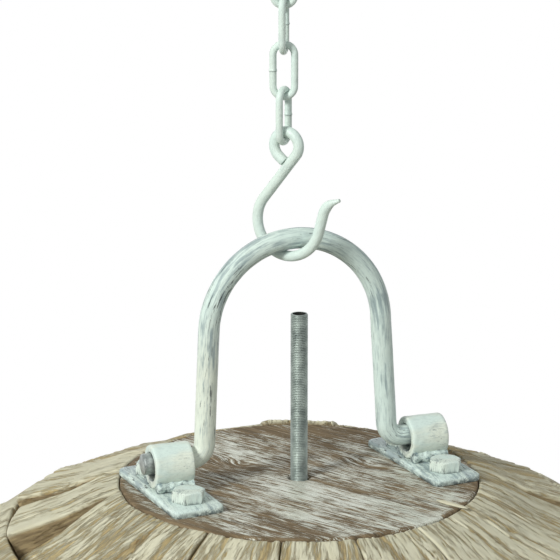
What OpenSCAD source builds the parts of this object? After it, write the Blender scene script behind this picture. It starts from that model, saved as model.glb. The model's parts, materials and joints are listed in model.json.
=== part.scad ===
// A wooden dome pendant: a half sphere of rough boards under a round top disc,
// carried by a painted bail in two hinge lugs, an open hook and a welded chain.
// Millimetres, +Z up. The origin is the middle of the ceiling plate's top face,
// and X runs along the hinge axis of the bail.

/* [Ceiling fitting] */
// Diameter of the round ceiling plate
ceiling_plate_d = 90; // [84:1:140]
// Thickness of the ceiling plate
ceiling_plate_t = 6; // [4:0.5:10]
// Pitch circle of the screw holes in the ceiling plate
ceiling_hole_pcd = 64; // [44:1:68]
// Diameter of a screw hole in the ceiling plate
ceiling_hole_d = 5.5; // [4:0.5:7]
// Number of screw holes in the ceiling plate
ceiling_holes = 4; // [3:1:6]
// Wire diameter of the ceiling eye
eye_wire = 6; // [5:0.5:8]
// Clear width inside the ceiling eye
eye_inside = 14; // [12:0.5:24]
// Diameter of the ceiling eye's threaded shank
eye_shank_d = 8; // [6:0.5:8]
// Width across the flats of the ceiling eye's nut
eye_nut_af = 13; // [13:0.5:17]
// Height of the ceiling eye's nut
eye_nut_h = 6.5; // [5:0.5:9]

/* [Chain] */
// Wire diameter of a chain link
link_wire = 4; // [3:0.25:4.5]
// Width of a link over its wires
link_width = 16; // [15:0.5:22]
// Length of a link over its wires
link_length = 33.3; // [30:0.1:45]
// Turn of each link about the chain line, top link first
link_turns = [-20, 60, -25, 45];

/* [Hook] */
// Wire diameter of the hook
hook_wire = 6; // [5:0.25:7]
// Turn of the hook's plane, clockwise from the bail's axis
hook_turn = 52; // [40:1:60]
// Radius of the bowl on the tip side
bowl_tip_r = 21.1; // [18:0.1:24]
// Turn of the bowl on the tip side
bowl_tip_turn = 74.7; // [68:0.1:80]
// Straight rise from the bowl to the curled tip
tip_rise = 11.3; // [8:0.1:16]
// Radius of the curled tip
tip_curl_r = 11; // [9:0.1:16]
// Turn of the curled tip
tip_curl_turn = 53.6; // [40:0.1:80]
// Length of the tapered end
tip_len = 4; // [2:0.5:8]
// Radius of the bowl on the shank side
bowl_back_r = 19.6; // [18:0.1:24]
// Turn of the bowl on the shank side
bowl_back_turn = 25.8; // [22:0.1:30]
// Radius of the shoulder that leads into the shank
shoulder_r = 19.6; // [17:0.1:24]
// Turn of the shoulder
shoulder_turn = 103.1; // [98:0.1:108]
// Straight length of the shank
shank_len = 33.1; // [30:0.1:48]
// Clear width inside the hook's eye
hook_eye_inside = 9.8; // [9.6:0.1:14]
// Where the lowest link bears in the eye, as an angle from its top
hook_eye_lean = 40; // [0:1:45]

/* [Bail] */
// Bar diameter of the bail
bail_d = 12; // [10:0.5:13]
// Height from the hinge axis to the middle of the bar at the crown
bail_rise = 122.8; // [115:0.1:160]
// Radius of the crown's left half, on the bar's middle line
bail_left_r = 51.6; // [48:0.1:56]
// Turn of the crown's left half, which leaves the leg leaning out
bail_left_turn = 87.3; // [84:0.1:90]
// Radius of the crown's right half, on the bar's middle line
bail_right_r = 52.5; // [48:0.1:56]
// Turn of the crown's right half, which leaves the leg leaning out
bail_right_turn = 86.2; // [84:0.1:90]
// Inside bend between a leg and its hinge end, on the bar's middle line
bail_bend_r = 9; // [8:0.5:14]
// Length of each straight hinge end
bail_stub = 28; // [26:0.5:40]
// How far the bail sits to the left in its tubes
bail_shift = 1.5; // [0:0.1:2]
// How far left of the crown's top the hook bears
bail_seat = 4.7; // [0:0.1:6]

/* [Hinge lugs] */
// Outer diameter of a hinge tube
lug_tube_d = 25; // [24:0.5:30]
// Bore of a hinge tube
lug_bore = 16; // [14.5:0.5:18]
// Length of a hinge tube
lug_tube_len = 22.7; // [20:0.1:26]
// Width of a foot plate, along the hinge axis
foot_w = 31; // [28:0.5:40]
// Length of a foot plate, across the hinge axis
foot_len = 88; // [80:1:100]
// Thickness of a foot plate
foot_t = 4; // [3:0.5:6]
// Turn of both foot plates under their hinge tubes
foot_turn = 4.6; // [0:0.1:6]
// Corner radius of a foot plate
foot_corner = 5; // [2:0.5:10]
// Height and reach of a weld bead
weld_size = 7; // [4:0.5:9]
// Distance between the two bolts of a foot plate
bolt_spacing = 54; // [50:1:60]
// Diameter of a foot bolt
bolt_d = 10; // [8:0.5:10]
// Width across the flats of a foot bolt's head and nut
bolt_af = 17; // [15:0.5:18]
// Height of a foot bolt's head
bolt_head_h = 6.4; // [5:0.1:8]
// Height of a foot bolt's nut
bolt_nut_h = 8; // [6:0.1:10]
// Diameter of a foot bolt's washer
bolt_washer_d = 20; // [19:0.5:24]
// Thickness of a foot bolt's washer
bolt_washer_t = 2; // [1:0.1:3]

/* [Wooden dome] */
// Diameter of the dome over its boards
dome_d = 800; // [760:5:900]
// Diameter of the top disc
disc_d = 206; // [204:1:220]
// Thickness of the top disc
disc_t = 22; // [18:0.5:28]
// How far the disc stands above the boards round it
disc_proud = 2; // [1:0.5:4]
// Thickness of a board at its corners
board_t = 15; // [12:0.5:20]
// Gap between neighbouring boards
board_gap = 0.8; // [0.5:0.1:1.5]
// How unevenly the lower boards' outer ends stand
board_uneven = 2; // [0:0.5:4]
// Seams between the first course's boards, as angles about the dome's axis
first_seams = [-139, -116, -94, -73, -50, -33, -12, 10, 34, 57, 81, 104.5, 128, 151, 172, 196.5];
// Lift of each first board's outer corners, at its first seam and its last
first_lifts = [
    [-3, -4], [-3, -2], [1, 2], [1, 0], [1, 0], [0, -1.5], [2, 2], [4, 3],
    [1, 1], [0, 2], [3, 2], [3, 3], [4, 5], [0, 6], [-6, -3], [2, 3]
];
// Angle from the dome's axis to the lower end of each course
course_ends = [24.8, 36, 47, 58, 69, 79.5, 90];
// Boards in each course below the first
course_boards = [20, 24, 28, 30, 32, 32];

/* [Liner and frame] */
// Thickness of the plywood liner
liner_t = 4; // [3:0.5:6]
// Angle from the dome's axis to the joint between the liner's two parts
liner_joint = 47; // [42:1:55]
// Rim of the steel plate under the top disc, outside its bolt holes
frame_rim = 8.9; // [6:0.1:10]
// Thickness of the steel plate under the top disc
frame_t = 4.5; // [3:0.5:6]
// Number of ribs
ribs = 6; // [6:2:8]
// Width of a rib
rib_w = 20; // [12:1:24]
// Thickness of a rib
rib_t = 5; // [3:0.5:6]
// Width of a hoop
hoop_w = 25; // [15:1:30]
// Thickness of a hoop
hoop_t = 4; // [3:0.5:5]

/* [Lamp tube and cluster] */
// Outer diameter of the threaded lamp tube
tube_d = 10; // [8:0.5:10]
// Bore of the threaded lamp tube
tube_bore = 7.6; // [5:0.1:7.8]
// Height of the tube above the top disc
tube_rise = 99.3; // [60:0.1:105]
// Length of the tube
tube_len = 180; // [160:1:220]
// Diameter of the tube's hole in the top disc
tube_hole_d = 14; // [12:0.5:16]
// Width across the flats of the tube's nuts
tube_nut_af = 14; // [13:0.5:15]
// Height of one of the tube's nuts
tube_nut_h = 3; // [2.5:0.5:4]
// Thickness of one of the tube's washers
tube_washer_t = 1; // [0.8:0.1:1.5]
// How far the tube reaches below the nut inside the cluster
tube_end = 4.2; // [2:0.1:8]
// Diameter of the lamp cluster's pan
pan_d = 150; // [146:1:190]
// Depth of the pan
pan_h = 35; // [32:1:60]
// Sheet thickness of the pan and its cover
pan_t = 1.5; // [1:0.25:3]
// Number of lamps
LAMPS = 3;
// Distance from the pan's edge to a lamp's axis
lamp_inset = 27; // [24:1:29]
// Outer diameter of a lampholder
holder_d = 39; // [36:0.5:44]
// Height of a lampholder
holder_h = 51; // [48:0.5:60]
// Bore of a lampholder
holder_bore = 27.2; // [26.8:0.1:28.5]
// Depth of a lampholder's bore
holder_depth = 30; // [28:0.5:32]
// Diameter of a lamp's screw cap
cap_d = 26.4; // [24:0.1:26.4]
// Height of a lamp's screw cap
cap_h = 24; // [20:0.5:26]
// Diameter of a lamp's glass
glass_d = 60; // [50:1:70]
// Height of a lamp's glass
glass_h = 82; // [78:1:100]
// Wall of a lamp's glass
glass_t = 1; // [0.6:0.1:2]

/* [Hidden] */
$fn = 64;

// Colours
paint = [0.84, 0.89, 0.86];
zinc = [0.62, 0.65, 0.66];
brown_wood = [0.42, 0.33, 0.27];
pale_wood = [0.76, 0.70, 0.60];
white_ply = [0.92, 0.91, 0.88];
black_steel = [0.20, 0.20, 0.21];
porcelain = [0.93, 0.93, 0.90];
brass = [0.78, 0.66, 0.38];
opal = [0.97, 0.96, 0.92];

// Clearances
wire_play = 0.1;     // between wires that hang on each other
seat_play = 0.2;     // between the hook and the lowest link
bail_play = 0.55;    // between the hook and the bail, which cross at a slant
hinge_play = 0.1;    // between the bail and the top of its tubes
end_gap = 0.3;       // between the bail's bend and a tube, and between stacked parts
thread_play = 0.2;   // between a threaded bar and its hole, on the diameter
bolt_play = 1;       // between a bolt and its hole, on the diameter
skin_gap = 0.4;      // between boards, liner and ribs
disc_gap = 0.6;      // between the top disc and the boards round it

// Ceiling fitting: the eye's ring hangs just under its nut
eye_r = (eye_inside + eye_wire) / 2;
eye_neck = 0.5;
eye_ring_z = -(ceiling_plate_t + eye_nut_h + eye_neck + eye_wire / 2 + eye_r);
eye_wire_z = eye_ring_z - eye_r;
eye_turn = link_turns[0] + 90;
screw_sink = ceiling_hole_d / 2;

// Chain: heights of each link's top and bottom wire
link_r = (link_width - link_wire) / 2;
link_reach = link_length - link_wire;
link_top_1 = eye_wire_z + (eye_wire + link_wire) / 2 + wire_play;
link_pitch = link_reach - link_wire - wire_play;
function link_top(i) = link_top_1 - i * link_pitch;
function link_foot(i) = link_top(i) - link_reach;

// A bent bar is a list of steps in one plane, [radius, turn] for a bend, to the left
// when the turn is positive, and [length, 0] for a straight
function step_end(p, s) =
    s[1] == 0
        ? [p[0] + s[0] * cos(p[2]), p[1] + s[0] * sin(p[2]), p[2]]
        : let(side = sign(s[1]), last = p[2] + s[1])
          [p[0] + side * s[0] * (sin(last) - sin(p[2])),
           p[1] + side * s[0] * (cos(p[2]) - cos(last)), last];
function path_end(p, steps, i = 0) =
    i == len(steps) ? p : path_end(step_end(p, steps[i]), steps, i + 1);

// Hook: two runs that start at the saddle, where the bail's crown rests
hook_eye_r = (hook_eye_inside + hook_wire) / 2;
hook_eye_turn = 270;
hook_eye_seam = 0.15;
hook_eye_close = hook_eye_r - hook_wire / 2 - hook_eye_seam;
hook_shank = [[bowl_back_r, -bowl_back_turn], [shoulder_r, -shoulder_turn], [shank_len, 0]];
hook_eye = [[hook_eye_r, hook_eye_turn], [hook_eye_close, 0]];
hook_front = [[bowl_tip_r, bowl_tip_turn], [tip_rise, 0], [tip_curl_r, -tip_curl_turn]];
eye_start = path_end([0, 0, 180], hook_shank);
eye_centre = [eye_start[0] - hook_eye_r * sin(eye_start[2]),
              eye_start[1] + hook_eye_r * cos(eye_start[2])];
bear_r = hook_eye_r - (hook_wire + link_wire) / 2 - seat_play;
link_bears = [eye_centre[0] - bear_r * sin(hook_eye_lean),
              eye_centre[1] + bear_r * cos(hook_eye_lean)];
last_link = 3;
knuckle_len = 0.1;
knuckle_extra = 0.1;
saddle_z = link_foot(last_link) - link_bears[1];
saddle_x = -link_bears[0] * cos(hook_turn);
saddle_y = link_bears[0] * sin(hook_turn);

// Bail: the seat lies a little below the crown, left of its middle
seat_drop = bail_left_r - sqrt(bail_left_r * bail_left_r - bail_seat * bail_seat);
seat_z = saddle_z + (bail_d + hook_wire) / 2 + bail_play;
bail_crown_z = seat_z + seat_drop;
hinge_z = bail_crown_z - bail_rise;
function leg_length(r, turn) =
    (bail_rise - (bail_bend_r + r) * (1 - cos(turn))) / sin(turn);
function leg_run(r, turn) = (bail_bend_r + r) * sin(turn) + leg_length(r, turn) * cos(turn);
left_run = leg_run(bail_left_r, bail_left_turn);
right_run = leg_run(bail_right_r, bail_right_turn);
bail_half = (left_run + right_run) / 2;

// The shade's own frame: its axis, with zero height at the boards' upper inner edge
foot_tube_z = foot_t + lug_tube_d / 2;
foot_hinge_z = foot_tube_z + (lug_bore - bail_d) / 2 - hinge_play;
shade_x = saddle_x + bail_seat + bail_shift + (right_run - left_run) / 2;
shade_y = saddle_y;
shade_z = hinge_z - foot_hinge_z - disc_proud;
lug_in = bail_half + bail_shift + end_gap;
lug_mid = lug_in + lug_tube_len / 2;
bolt_hole_d = bolt_d + bolt_play;
bolt_top = disc_proud + foot_t;
bolt_out = lug_mid + bolt_spacing / 2 * sin(foot_turn);
bolt_across = bolt_spacing / 2 * cos(foot_turn);
bolt_stack = foot_t + disc_t + frame_t + bolt_washer_t + bolt_nut_h;
bolt_spare = 3;
frame_plate_d = 2 * (norm([bolt_out, bolt_across]) + bolt_hole_d / 2 + frame_rim);

// Dome
dome_r = dome_d / 2;
disc_r = disc_d / 2;
dome_z = -sqrt(dome_r * dome_r - disc_r * disc_r);
board_in_r = dome_r - board_t;
course_count = len(course_ends);
first_tuck = 5;
// Boards run on this many degrees past a joint before their ends are cut
board_spare = 0.6;
function course_start(c) = c == 0 ? asin((disc_r - first_tuck) / dome_r) : course_ends[c - 1];
function course_step(c) =
    c == 0 ? max([for (i = [0 : len(first_seams) - 1]) seam(i + 1) - seam(i)])
           : 360 / course_boards[c - 1];
function seam(i) = i < len(first_seams) ? first_seams[i] : first_seams[0] + 360;
function dot3(a, b) = a[0] * b[0] + a[1] * b[1] + a[2] * b[2];
function on_dome(r, polar, turn) =
    [r * sin(polar) * cos(turn), r * sin(polar) * sin(turn), dome_z + r * cos(polar)];
function ray(polar, turn) = [sin(polar) * cos(turn), sin(polar) * sin(turn), cos(polar)];

// A flat board sinks towards the liner between its corners, by this angle at most
board_half = max([for (c = [0 : course_count - 1])
    acos(dot3(ray(course_start(c), 0), ray(course_ends[c], course_step(c)))) / 2]);
liner_r = board_in_r * cos(board_half) - skin_gap;
liner_in_r = liner_r - liner_t;
disc_low = disc_proud - disc_t;
frame_low = disc_low - frame_t;
liner_top = frame_low - end_gap;
rib_r = liner_in_r - skin_gap;
rib_in_r = rib_r - rib_t;
hoop_r = rib_in_r - skin_gap;
rim_hoop_r = sqrt(rib_in_r * rib_in_r - hoop_w * hoop_w) - skin_gap;

// Lamp tube and cluster, in the shade's frame
lamp_offset = pan_d / 2 - lamp_inset;
tube_low = tube_rise - tube_len;
pan_nut_z = tube_low + tube_end + tube_nut_h;
cover_top = pan_nut_z + pan_t;
pan_top = pan_nut_z;
pan_low = pan_top - pan_h;
pan_floor = pan_low + pan_t;
pan_post_d = 8;
pan_post_len = 12;
pan_screw_d = 4;
pan_screw_len = 10;
pan_screw_ring = pan_d / 2 - pan_t - pan_post_d / 2 - end_gap;
nipple_len = 18;
nipple_low = pan_low - 10;
holder_top = pan_low - end_gap / 3;
holder_neck_r = 9;
holder_neck_h = 8;
holder_lip_z = holder_top - holder_h;
cap_low = holder_lip_z - 0.5;
cap_tip_h = 3;
glass_top = cap_low - end_gap / 3;
glass_neck_r = 14;
glass_ball_z = glass_top - glass_h + glass_d / 2;

module at_shade() { translate([shade_x, shade_y, shade_z]) children(); }
module at_lamp(i) { rotate(90 + i * 360 / LAMPS) translate([lamp_offset, 0, 0]) children(); }
module upright(turn) { rotate([90, 0, turn]) children(); }
module hexagon(across_flats, h) { cylinder(d = across_flats / cos(30), h = h, $fn = 6); }
module washer(outer, inner, t) {
    difference() {
        cylinder(d = outer, h = t);
        translate([0, 0, -1]) cylinder(d = inner, h = t + 2);
    }
}
module nut(across_flats, bore, h) {
    difference() {
        hexagon(across_flats, h);
        translate([0, 0, -1]) cylinder(d = bore, h = h + 2);
    }
}

// Round bar bent in the XY plane along its steps, from the origin towards +X. With a
// knuckle, each step stops that far short of its ends, and balls a hair wider than the
// bar close the joints between steps.
module bent_bar(d, steps, knuckle = 0, i = 0) {
    if (i < len(steps)) {
        size = steps[i][0];
        turn = steps[i][1];
        short = turn == 0 ? knuckle : knuckle / size * 180 / PI;
        if (i > 0 && knuckle > 0) knuckle_ball(d);
        if (turn == 0) {
            translate([short, 0, 0]) rotate([0, 90, 0]) cylinder(d = d, h = size - 2 * short);
        } else {
            translate([0, sign(turn) * size, 0]) rotate(turn > 0 ? short - 90 : 90 + turn + short)
                rotate_extrude(angle = abs(turn) - 2 * short) translate([size, 0]) circle(d = d);
        }
        last = step_end([0, 0, 0], steps[i]);
        translate([last[0], last[1], 0]) rotate(last[2]) bent_bar(d, steps, knuckle, i + 1);
    }
}
module knuckle_ball(d) { rotate([0, 90, 0]) sphere(d = d + knuckle_extra); }

module ceiling_plate() {
    color(paint) difference() {
        translate([0, 0, -ceiling_plate_t]) cylinder(d = ceiling_plate_d, h = ceiling_plate_t);
        translate([0, 0, -ceiling_plate_t - 1])
            cylinder(d = eye_shank_d + thread_play, h = ceiling_plate_t + 2);
        for (i = [0 : ceiling_holes - 1])
            rotate(45 + i * 360 / ceiling_holes) translate([ceiling_hole_pcd / 2, 0, 0]) {
                translate([0, 0, -ceiling_plate_t - 1])
                    cylinder(d = ceiling_hole_d, h = ceiling_plate_t + 2);
                translate([0, 0, -ceiling_plate_t - 0.01])
                    cylinder(d1 = 2 * ceiling_hole_d, d2 = ceiling_hole_d, h = screw_sink);
            }
    }
}

module ceiling_eye() {
    shank_low = eye_ring_z + eye_r;
    color(paint) union() {
        translate([0, 0, eye_ring_z]) upright(eye_turn)
            rotate_extrude() translate([eye_r, 0]) circle(d = eye_wire);
        translate([0, 0, shank_low]) cylinder(d = eye_shank_d, h = -shank_low - end_gap);
    }
}

module eye_nut() {
    color(paint) translate([0, 0, -ceiling_plate_t - eye_nut_h])
        nut(eye_nut_af, eye_shank_d + thread_play, eye_nut_h);
}

module chain_link(i) {
    side = link_reach - 2 * link_r;
    color(paint) translate([0, 0, link_foot(i) + link_r]) upright(link_turns[i])
        translate([link_r, 0, 0]) rotate(90)
            bent_bar(link_wire, [[side, 0], [link_r, 180], [side, 0], [link_r, 180]]);
}

module hanging_hook() {
    tip = path_end([0, 0, 0], hook_front);
    color(paint) translate([saddle_x, saddle_y, saddle_z]) upright(-hook_turn) {
        knuckle_ball(hook_wire);
        bent_bar(hook_wire, hook_front, knuckle_len);
        rotate(180) bent_bar(hook_wire, concat(hook_shank, hook_eye), knuckle_len);
        translate([tip[0], tip[1], 0]) rotate(tip[2]) {
            knuckle_ball(hook_wire);
            translate([knuckle_len, 0, 0]) rotate([0, 90, 0])
                cylinder(d1 = hook_wire, d2 = hook_wire / 2, h = tip_len);
        }
    }
}

module bail() {
    steps = [
        [bail_stub, 0], [bail_bend_r, bail_left_turn],
        [leg_length(bail_left_r, bail_left_turn), 0], [bail_left_r, -bail_left_turn],
        [bail_right_r, -bail_right_turn], [leg_length(bail_right_r, bail_right_turn), 0],
        [bail_bend_r, bail_right_turn], [bail_stub, 0]
    ];
    color(paint) translate([shade_x - bail_shift - bail_half - bail_stub, shade_y, hinge_z])
        upright(0) bent_bar(bail_d, steps, knuckle_len);
}

module foot_outline() {
    inner = [foot_w - 2 * foot_corner, foot_len - 2 * foot_corner];
    square([foot_w, inner[1]], center = true);
    square([inner[0], foot_len], center = true);
    for (x = [-0.5, 0.5], y = [-0.5, 0.5])
        translate([x * inner[0], y * inner[1]]) circle(r = foot_corner);
}

// One side's pieces are drawn about the middle of its foot plate, on the disc
module at_lug(side) { at_shade() translate([side * lug_mid, 0, disc_proud]) children(); }
module foot_holes(side) {
    for (y = [-0.5, 0.5])
        translate([side * lug_mid, 0, 0]) rotate(foot_turn) translate([0, y * bolt_spacing, 0])
            children();
}
module at_bolts() { at_shade() for (side = [-1, 1]) foot_holes(side) children(); }

module lug_plate(side) {
    color(paint) at_lug(side) rotate(foot_turn) difference() {
        linear_extrude(foot_t) foot_outline();
        for (y = [-0.5, 0.5])
            translate([0, y * bolt_spacing, -1]) cylinder(d = bolt_hole_d, h = foot_t + 2);
    }
}

module lug_tube(side) {
    color(paint) at_lug(side) translate([-lug_tube_len / 2, 0, foot_tube_z]) rotate([0, 90, 0])
        difference() {
            cylinder(d = lug_tube_d, h = lug_tube_len);
            translate([0, 0, -1]) cylinder(d = lug_bore, h = lug_tube_len + 2);
        }
}

// Two beads fill the corners between a tube and its foot plate
module lug_weld(side) {
    reach = lug_tube_d / 2 + weld_size / 4;
    color(paint) at_lug(side) difference() {
        for (y = [-1, 1])
            translate([-lug_tube_len / 2, 0, foot_t]) rotate([90, 0, 90]) linear_extrude(lug_tube_len)
                polygon([[y * 2, 0], [y * reach, 0], [y * reach, weld_size / 6],
                         [y * (lug_tube_d / 2 - 0.5), weld_size], [y * 2, weld_size]]);
        translate([-lug_tube_len, 0, foot_tube_z]) rotate([0, 90, 0])
            cylinder(d = lug_tube_d, h = 2 * lug_tube_len);
    }
}

module lug_bolts() {
    color(paint) at_bolts() {
        translate([0, 0, bolt_top]) rotate(30) hexagon(bolt_af, bolt_head_h);
        translate([0, 0, bolt_top - bolt_stack - bolt_spare])
            cylinder(d = bolt_d, h = bolt_stack + bolt_spare + bolt_head_h / 2);
    }
}

module bolt_washers() {
    color(zinc) at_bolts() translate([0, 0, frame_low - bolt_washer_t])
        washer(bolt_washer_d, bolt_hole_d, bolt_washer_t);
}

module bolt_nuts() {
    color(zinc) at_bolts() translate([0, 0, frame_low - bolt_washer_t - bolt_nut_h])
        rotate(30) nut(bolt_af, bolt_d + thread_play, bolt_nut_h);
}

// The disc's underside has a pocket for the tube's upper nut
module top_disc() {
    pocket_d = tube_nut_af / cos(30) + 2;
    pocket_h = tube_nut_h + 1;
    chamfer = 1.5;
    color(brown_wood) at_shade() difference() {
        translate([0, 0, disc_low]) cylinder(r = disc_r, h = disc_t, $fn = 128);
        translate([0, 0, disc_low - 1]) cylinder(d = tube_hole_d, h = disc_t + 2);
        translate([0, 0, disc_proud - chamfer])
            cylinder(d1 = tube_hole_d, d2 = tube_hole_d + 2 * chamfer + 0.1, h = chamfer + 0.05);
        translate([0, 0, disc_low - 1]) cylinder(d = pocket_d, h = pocket_h + 1);
        for (side = [-1, 1])
            foot_holes(side) translate([0, 0, disc_low - 1])
                cylinder(d = bolt_hole_d, h = disc_t + 2);
    }
}

// Corners of a board run (start, first edge), (start, last edge), (end, last edge),
// (end, first edge), on the inside and then on the outside
module board(inner, outer) {
    polyhedron(
        points = concat(inner, outer),
        faces = [[3, 2, 1, 0], [4, 5, 6, 7], [0, 1, 5, 4], [1, 2, 6, 5], [2, 3, 7, 6], [3, 0, 4, 7]]
    );
}

function edge_inset(r, polar) = (board_gap / 2) / (r * sin(polar)) * 180 / PI;
function board_face(r, p0, p1, a0, a1) = [
    on_dome(r, p0, a0 + edge_inset(r, p0)), on_dome(r, p0, a1 - edge_inset(r, p0)),
    on_dome(r, p1, a1 - edge_inset(r, p1)), on_dome(r, p1, a0 + edge_inset(r, p1))
];

// First course: the tops run straight from the disc's edge to their lifted outer ends
function lifted(p, lift) = [p[0], p[1], p[2] + lift];
function flush_start(p_start, p_end) =
    let(r0 = norm([p_start[0], p_start[1]]), r1 = norm([p_end[0], p_end[1]]))
    [p_start[0], p_start[1], p_end[2] * (r0 - disc_r) / (r1 - disc_r)];

module first_board(i) {
    p0 = course_start(0);
    p1 = course_ends[0] + board_spare;
    plain = board_face(dome_r, p0, p1, seam(i), seam(i + 1));
    last = lifted(plain[2], first_lifts[i][1]);
    first = lifted(plain[3], first_lifts[i][0]);
    outer = [flush_start(plain[0], first), flush_start(plain[1], last), last, first];
    board(board_face(board_in_r, p0, p1, seam(i), seam(i + 1)), outer);
}

module lower_board(c, i) {
    step = course_step(c);
    p0 = course_start(c);
    p1 = course_ends[c] + (c == course_count - 1 ? 0 : board_spare);
    first = 90 + (i + c / 2) * step;
    rise = board_uneven * (sin(137 * i + 59 * c) - 1) / 2;
    plain = board_face(dome_r, p0, p1, first, first + step);
    low = board_face(dome_r + rise, p0, p1, first, first + step);
    board(board_face(board_in_r, p0, p1, first, first + step), [plain[0], plain[1], low[2], low[3]]);
}

// Everything within a polar angle of the dome's axis, as seen from the dome's centre
module polar_cone(polar) {
    reach = 2.2 * dome_r;
    translate([0, 0, dome_z]) cylinder(r1 = 0, r2 = reach * sin(polar), h = reach * cos(polar), $fn = 180);
}

// The boards' ends follow the joint between two courses, with half a gap on each side
module stave_course(c) {
    end_gap_angle = board_gap / 2 / dome_r * 180 / PI;
    color(pale_wood) at_shade() difference() {
        if (c == 0) {
            intersection() {
                for (i = [0 : len(first_seams) - 1]) first_board(i);
                polar_cone(course_ends[0] - end_gap_angle);
            }
        } else if (c < course_count - 1) {
            intersection() {
                for (i = [0 : course_boards[c - 1] - 1]) lower_board(c, i);
                polar_cone(course_ends[c] - end_gap_angle);
            }
        } else {
            for (i = [0 : course_boards[c - 1] - 1]) lower_board(c, i);
        }
        if (c == 0) {
            translate([0, 0, -dome_r / 4])
                cylinder(r = disc_r + disc_gap, h = dome_r / 2, $fn = 128);
        } else {
            polar_cone(course_start(c) + end_gap_angle);
        }
    }
}

// Half of a ring between two radii and two angles from the dome's axis, ready to revolve
module dome_profile(inner, outer, p0, p1) {
    far = 2 * dome_r;
    intersection() {
        difference() {
            circle(r = outer, $fn = 180);
            circle(r = inner, $fn = 180);
        }
        polygon([[0, 0], [far * sin(p0), far * cos(p0)], [far * sin((p0 + p1) / 2), far],
                 [far * sin(p1), far * cos(p1)]]);
    }
}

module liner_zone(p0, p1) {
    color(white_ply) at_shade() difference() {
        translate([0, 0, dome_z]) rotate_extrude($fn = 128) dome_profile(liner_in_r, liner_r, p0, p1);
        translate([0, 0, liner_top]) cylinder(r = dome_r, h = dome_r);
    }
}
module liner_upper() { liner_zone(10, liner_joint); }
module liner_lower() { liner_zone(liner_joint + end_gap / dome_r * 180 / PI, 90); }

module frame_plate() {
    color(black_steel) at_shade() translate([0, 0, frame_low]) difference() {
        cylinder(d = frame_plate_d, h = frame_t);
        translate([0, 0, -1]) cylinder(d = tube_d + thread_play, h = frame_t + 2);
        for (side = [-1, 1])
            foot_holes(side) translate([0, 0, -1]) cylinder(d = bolt_hole_d, h = frame_t + 2);
    }
}

// Each rib is a flat bar rolled to the liner, cut level under the frame plate
module frame_ribs() {
    sweep = 90 - asin(frame_plate_d / 4 / rib_r);
    color(black_steel) at_shade() for (i = [0 : ribs - 1]) rotate(i * 360 / ribs)
        difference() {
            translate([0, 0, dome_z]) rotate([90, 0, 0]) rotate_extrude(angle = sweep, $fn = 180)
                translate([rib_in_r, -rib_w / 2]) square([rib_t, rib_w]);
            translate([-dome_r, -dome_r, frame_low]) cube([2 * dome_r, 2 * dome_r, dome_r]);
        }
}

module frame_hoop() {
    flat_r = sqrt(hoop_r * hoop_r - hoop_w * hoop_w / 4);
    color(black_steel) at_shade() translate([0, 0, dome_z]) rotate_extrude($fn = 128)
        rotate(90 - liner_joint) translate([flat_r - hoop_t, -hoop_w / 2]) square([hoop_t, hoop_w]);
}

module rim_hoop() {
    color(black_steel) at_shade() translate([0, 0, dome_z]) difference() {
        cylinder(r = rim_hoop_r, h = hoop_w, $fn = 128);
        translate([0, 0, -1]) cylinder(r = rim_hoop_r - hoop_t, h = hoop_w + 2, $fn = 128);
    }
}

module threaded_tube() {
    color(zinc) at_shade() translate([0, 0, tube_low]) difference() {
        cylinder(d = tube_d, h = tube_len);
        translate([0, 0, -1]) cylinder(d = tube_bore, h = tube_len + 2);
    }
}

module tube_nuts() {
    bore = tube_d + thread_play;
    color(zinc) at_shade() for (z = [
        disc_low,
        frame_low - tube_washer_t - tube_nut_h,
        cover_top + tube_washer_t,
        pan_nut_z - tube_nut_h
    ]) translate([0, 0, z]) nut(tube_nut_af, bore, tube_nut_h);
}

module tube_washers() {
    color(zinc) at_shade() for (z = [frame_low - tube_washer_t, cover_top])
        translate([0, 0, z]) washer(tube_nut_af + 6, tube_d + thread_play, tube_washer_t);
}

module at_pan_screws() {
    for (i = [0 : 2]) rotate(30 + i * 120) translate([pan_screw_ring, 0, 0]) children();
}

module cluster_cover() {
    color(white_ply) at_shade() translate([0, 0, pan_top]) difference() {
        cylinder(d = pan_d, h = pan_t);
        translate([0, 0, -1]) cylinder(d = tube_d + thread_play, h = pan_t + 2);
        at_pan_screws() translate([0, 0, -1]) cylinder(d = pan_screw_d + thread_play, h = pan_t + 2);
    }
}

module cluster_body() {
    color(white_ply) at_shade() difference() {
        union() {
            difference() {
                translate([0, 0, pan_low]) cylinder(d = pan_d, h = pan_h);
                translate([0, 0, pan_floor]) cylinder(d = pan_d - 2 * pan_t, h = pan_h);
            }
            at_pan_screws() {
                translate([0, 0, pan_top - pan_post_len]) cylinder(d = pan_post_d, h = pan_post_len);
                translate([0, -pan_t / 2, pan_top - pan_post_len])
                    cube([pan_post_d / 2 + end_gap + pan_t / 2, pan_t, pan_post_len]);
            }
        }
        at_pan_screws() translate([0, 0, pan_top - pan_post_len - 1])
            cylinder(d = pan_screw_d + thread_play, h = pan_post_len + 2);
        for (i = [0 : LAMPS - 1]) at_lamp(i) translate([0, 0, pan_low - 1])
            cylinder(d = tube_d + thread_play, h = pan_t + 2);
    }
}

module cluster_screws() {
    head_d = 2 * pan_screw_d;
    head_h = 0.6 * pan_screw_d;
    color(zinc) at_shade() at_pan_screws() {
        translate([0, 0, cover_top]) cylinder(d = head_d, h = head_h);
        translate([0, 0, cover_top - pan_screw_len]) cylinder(d = pan_screw_d, h = pan_screw_len + 1);
    }
}

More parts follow.
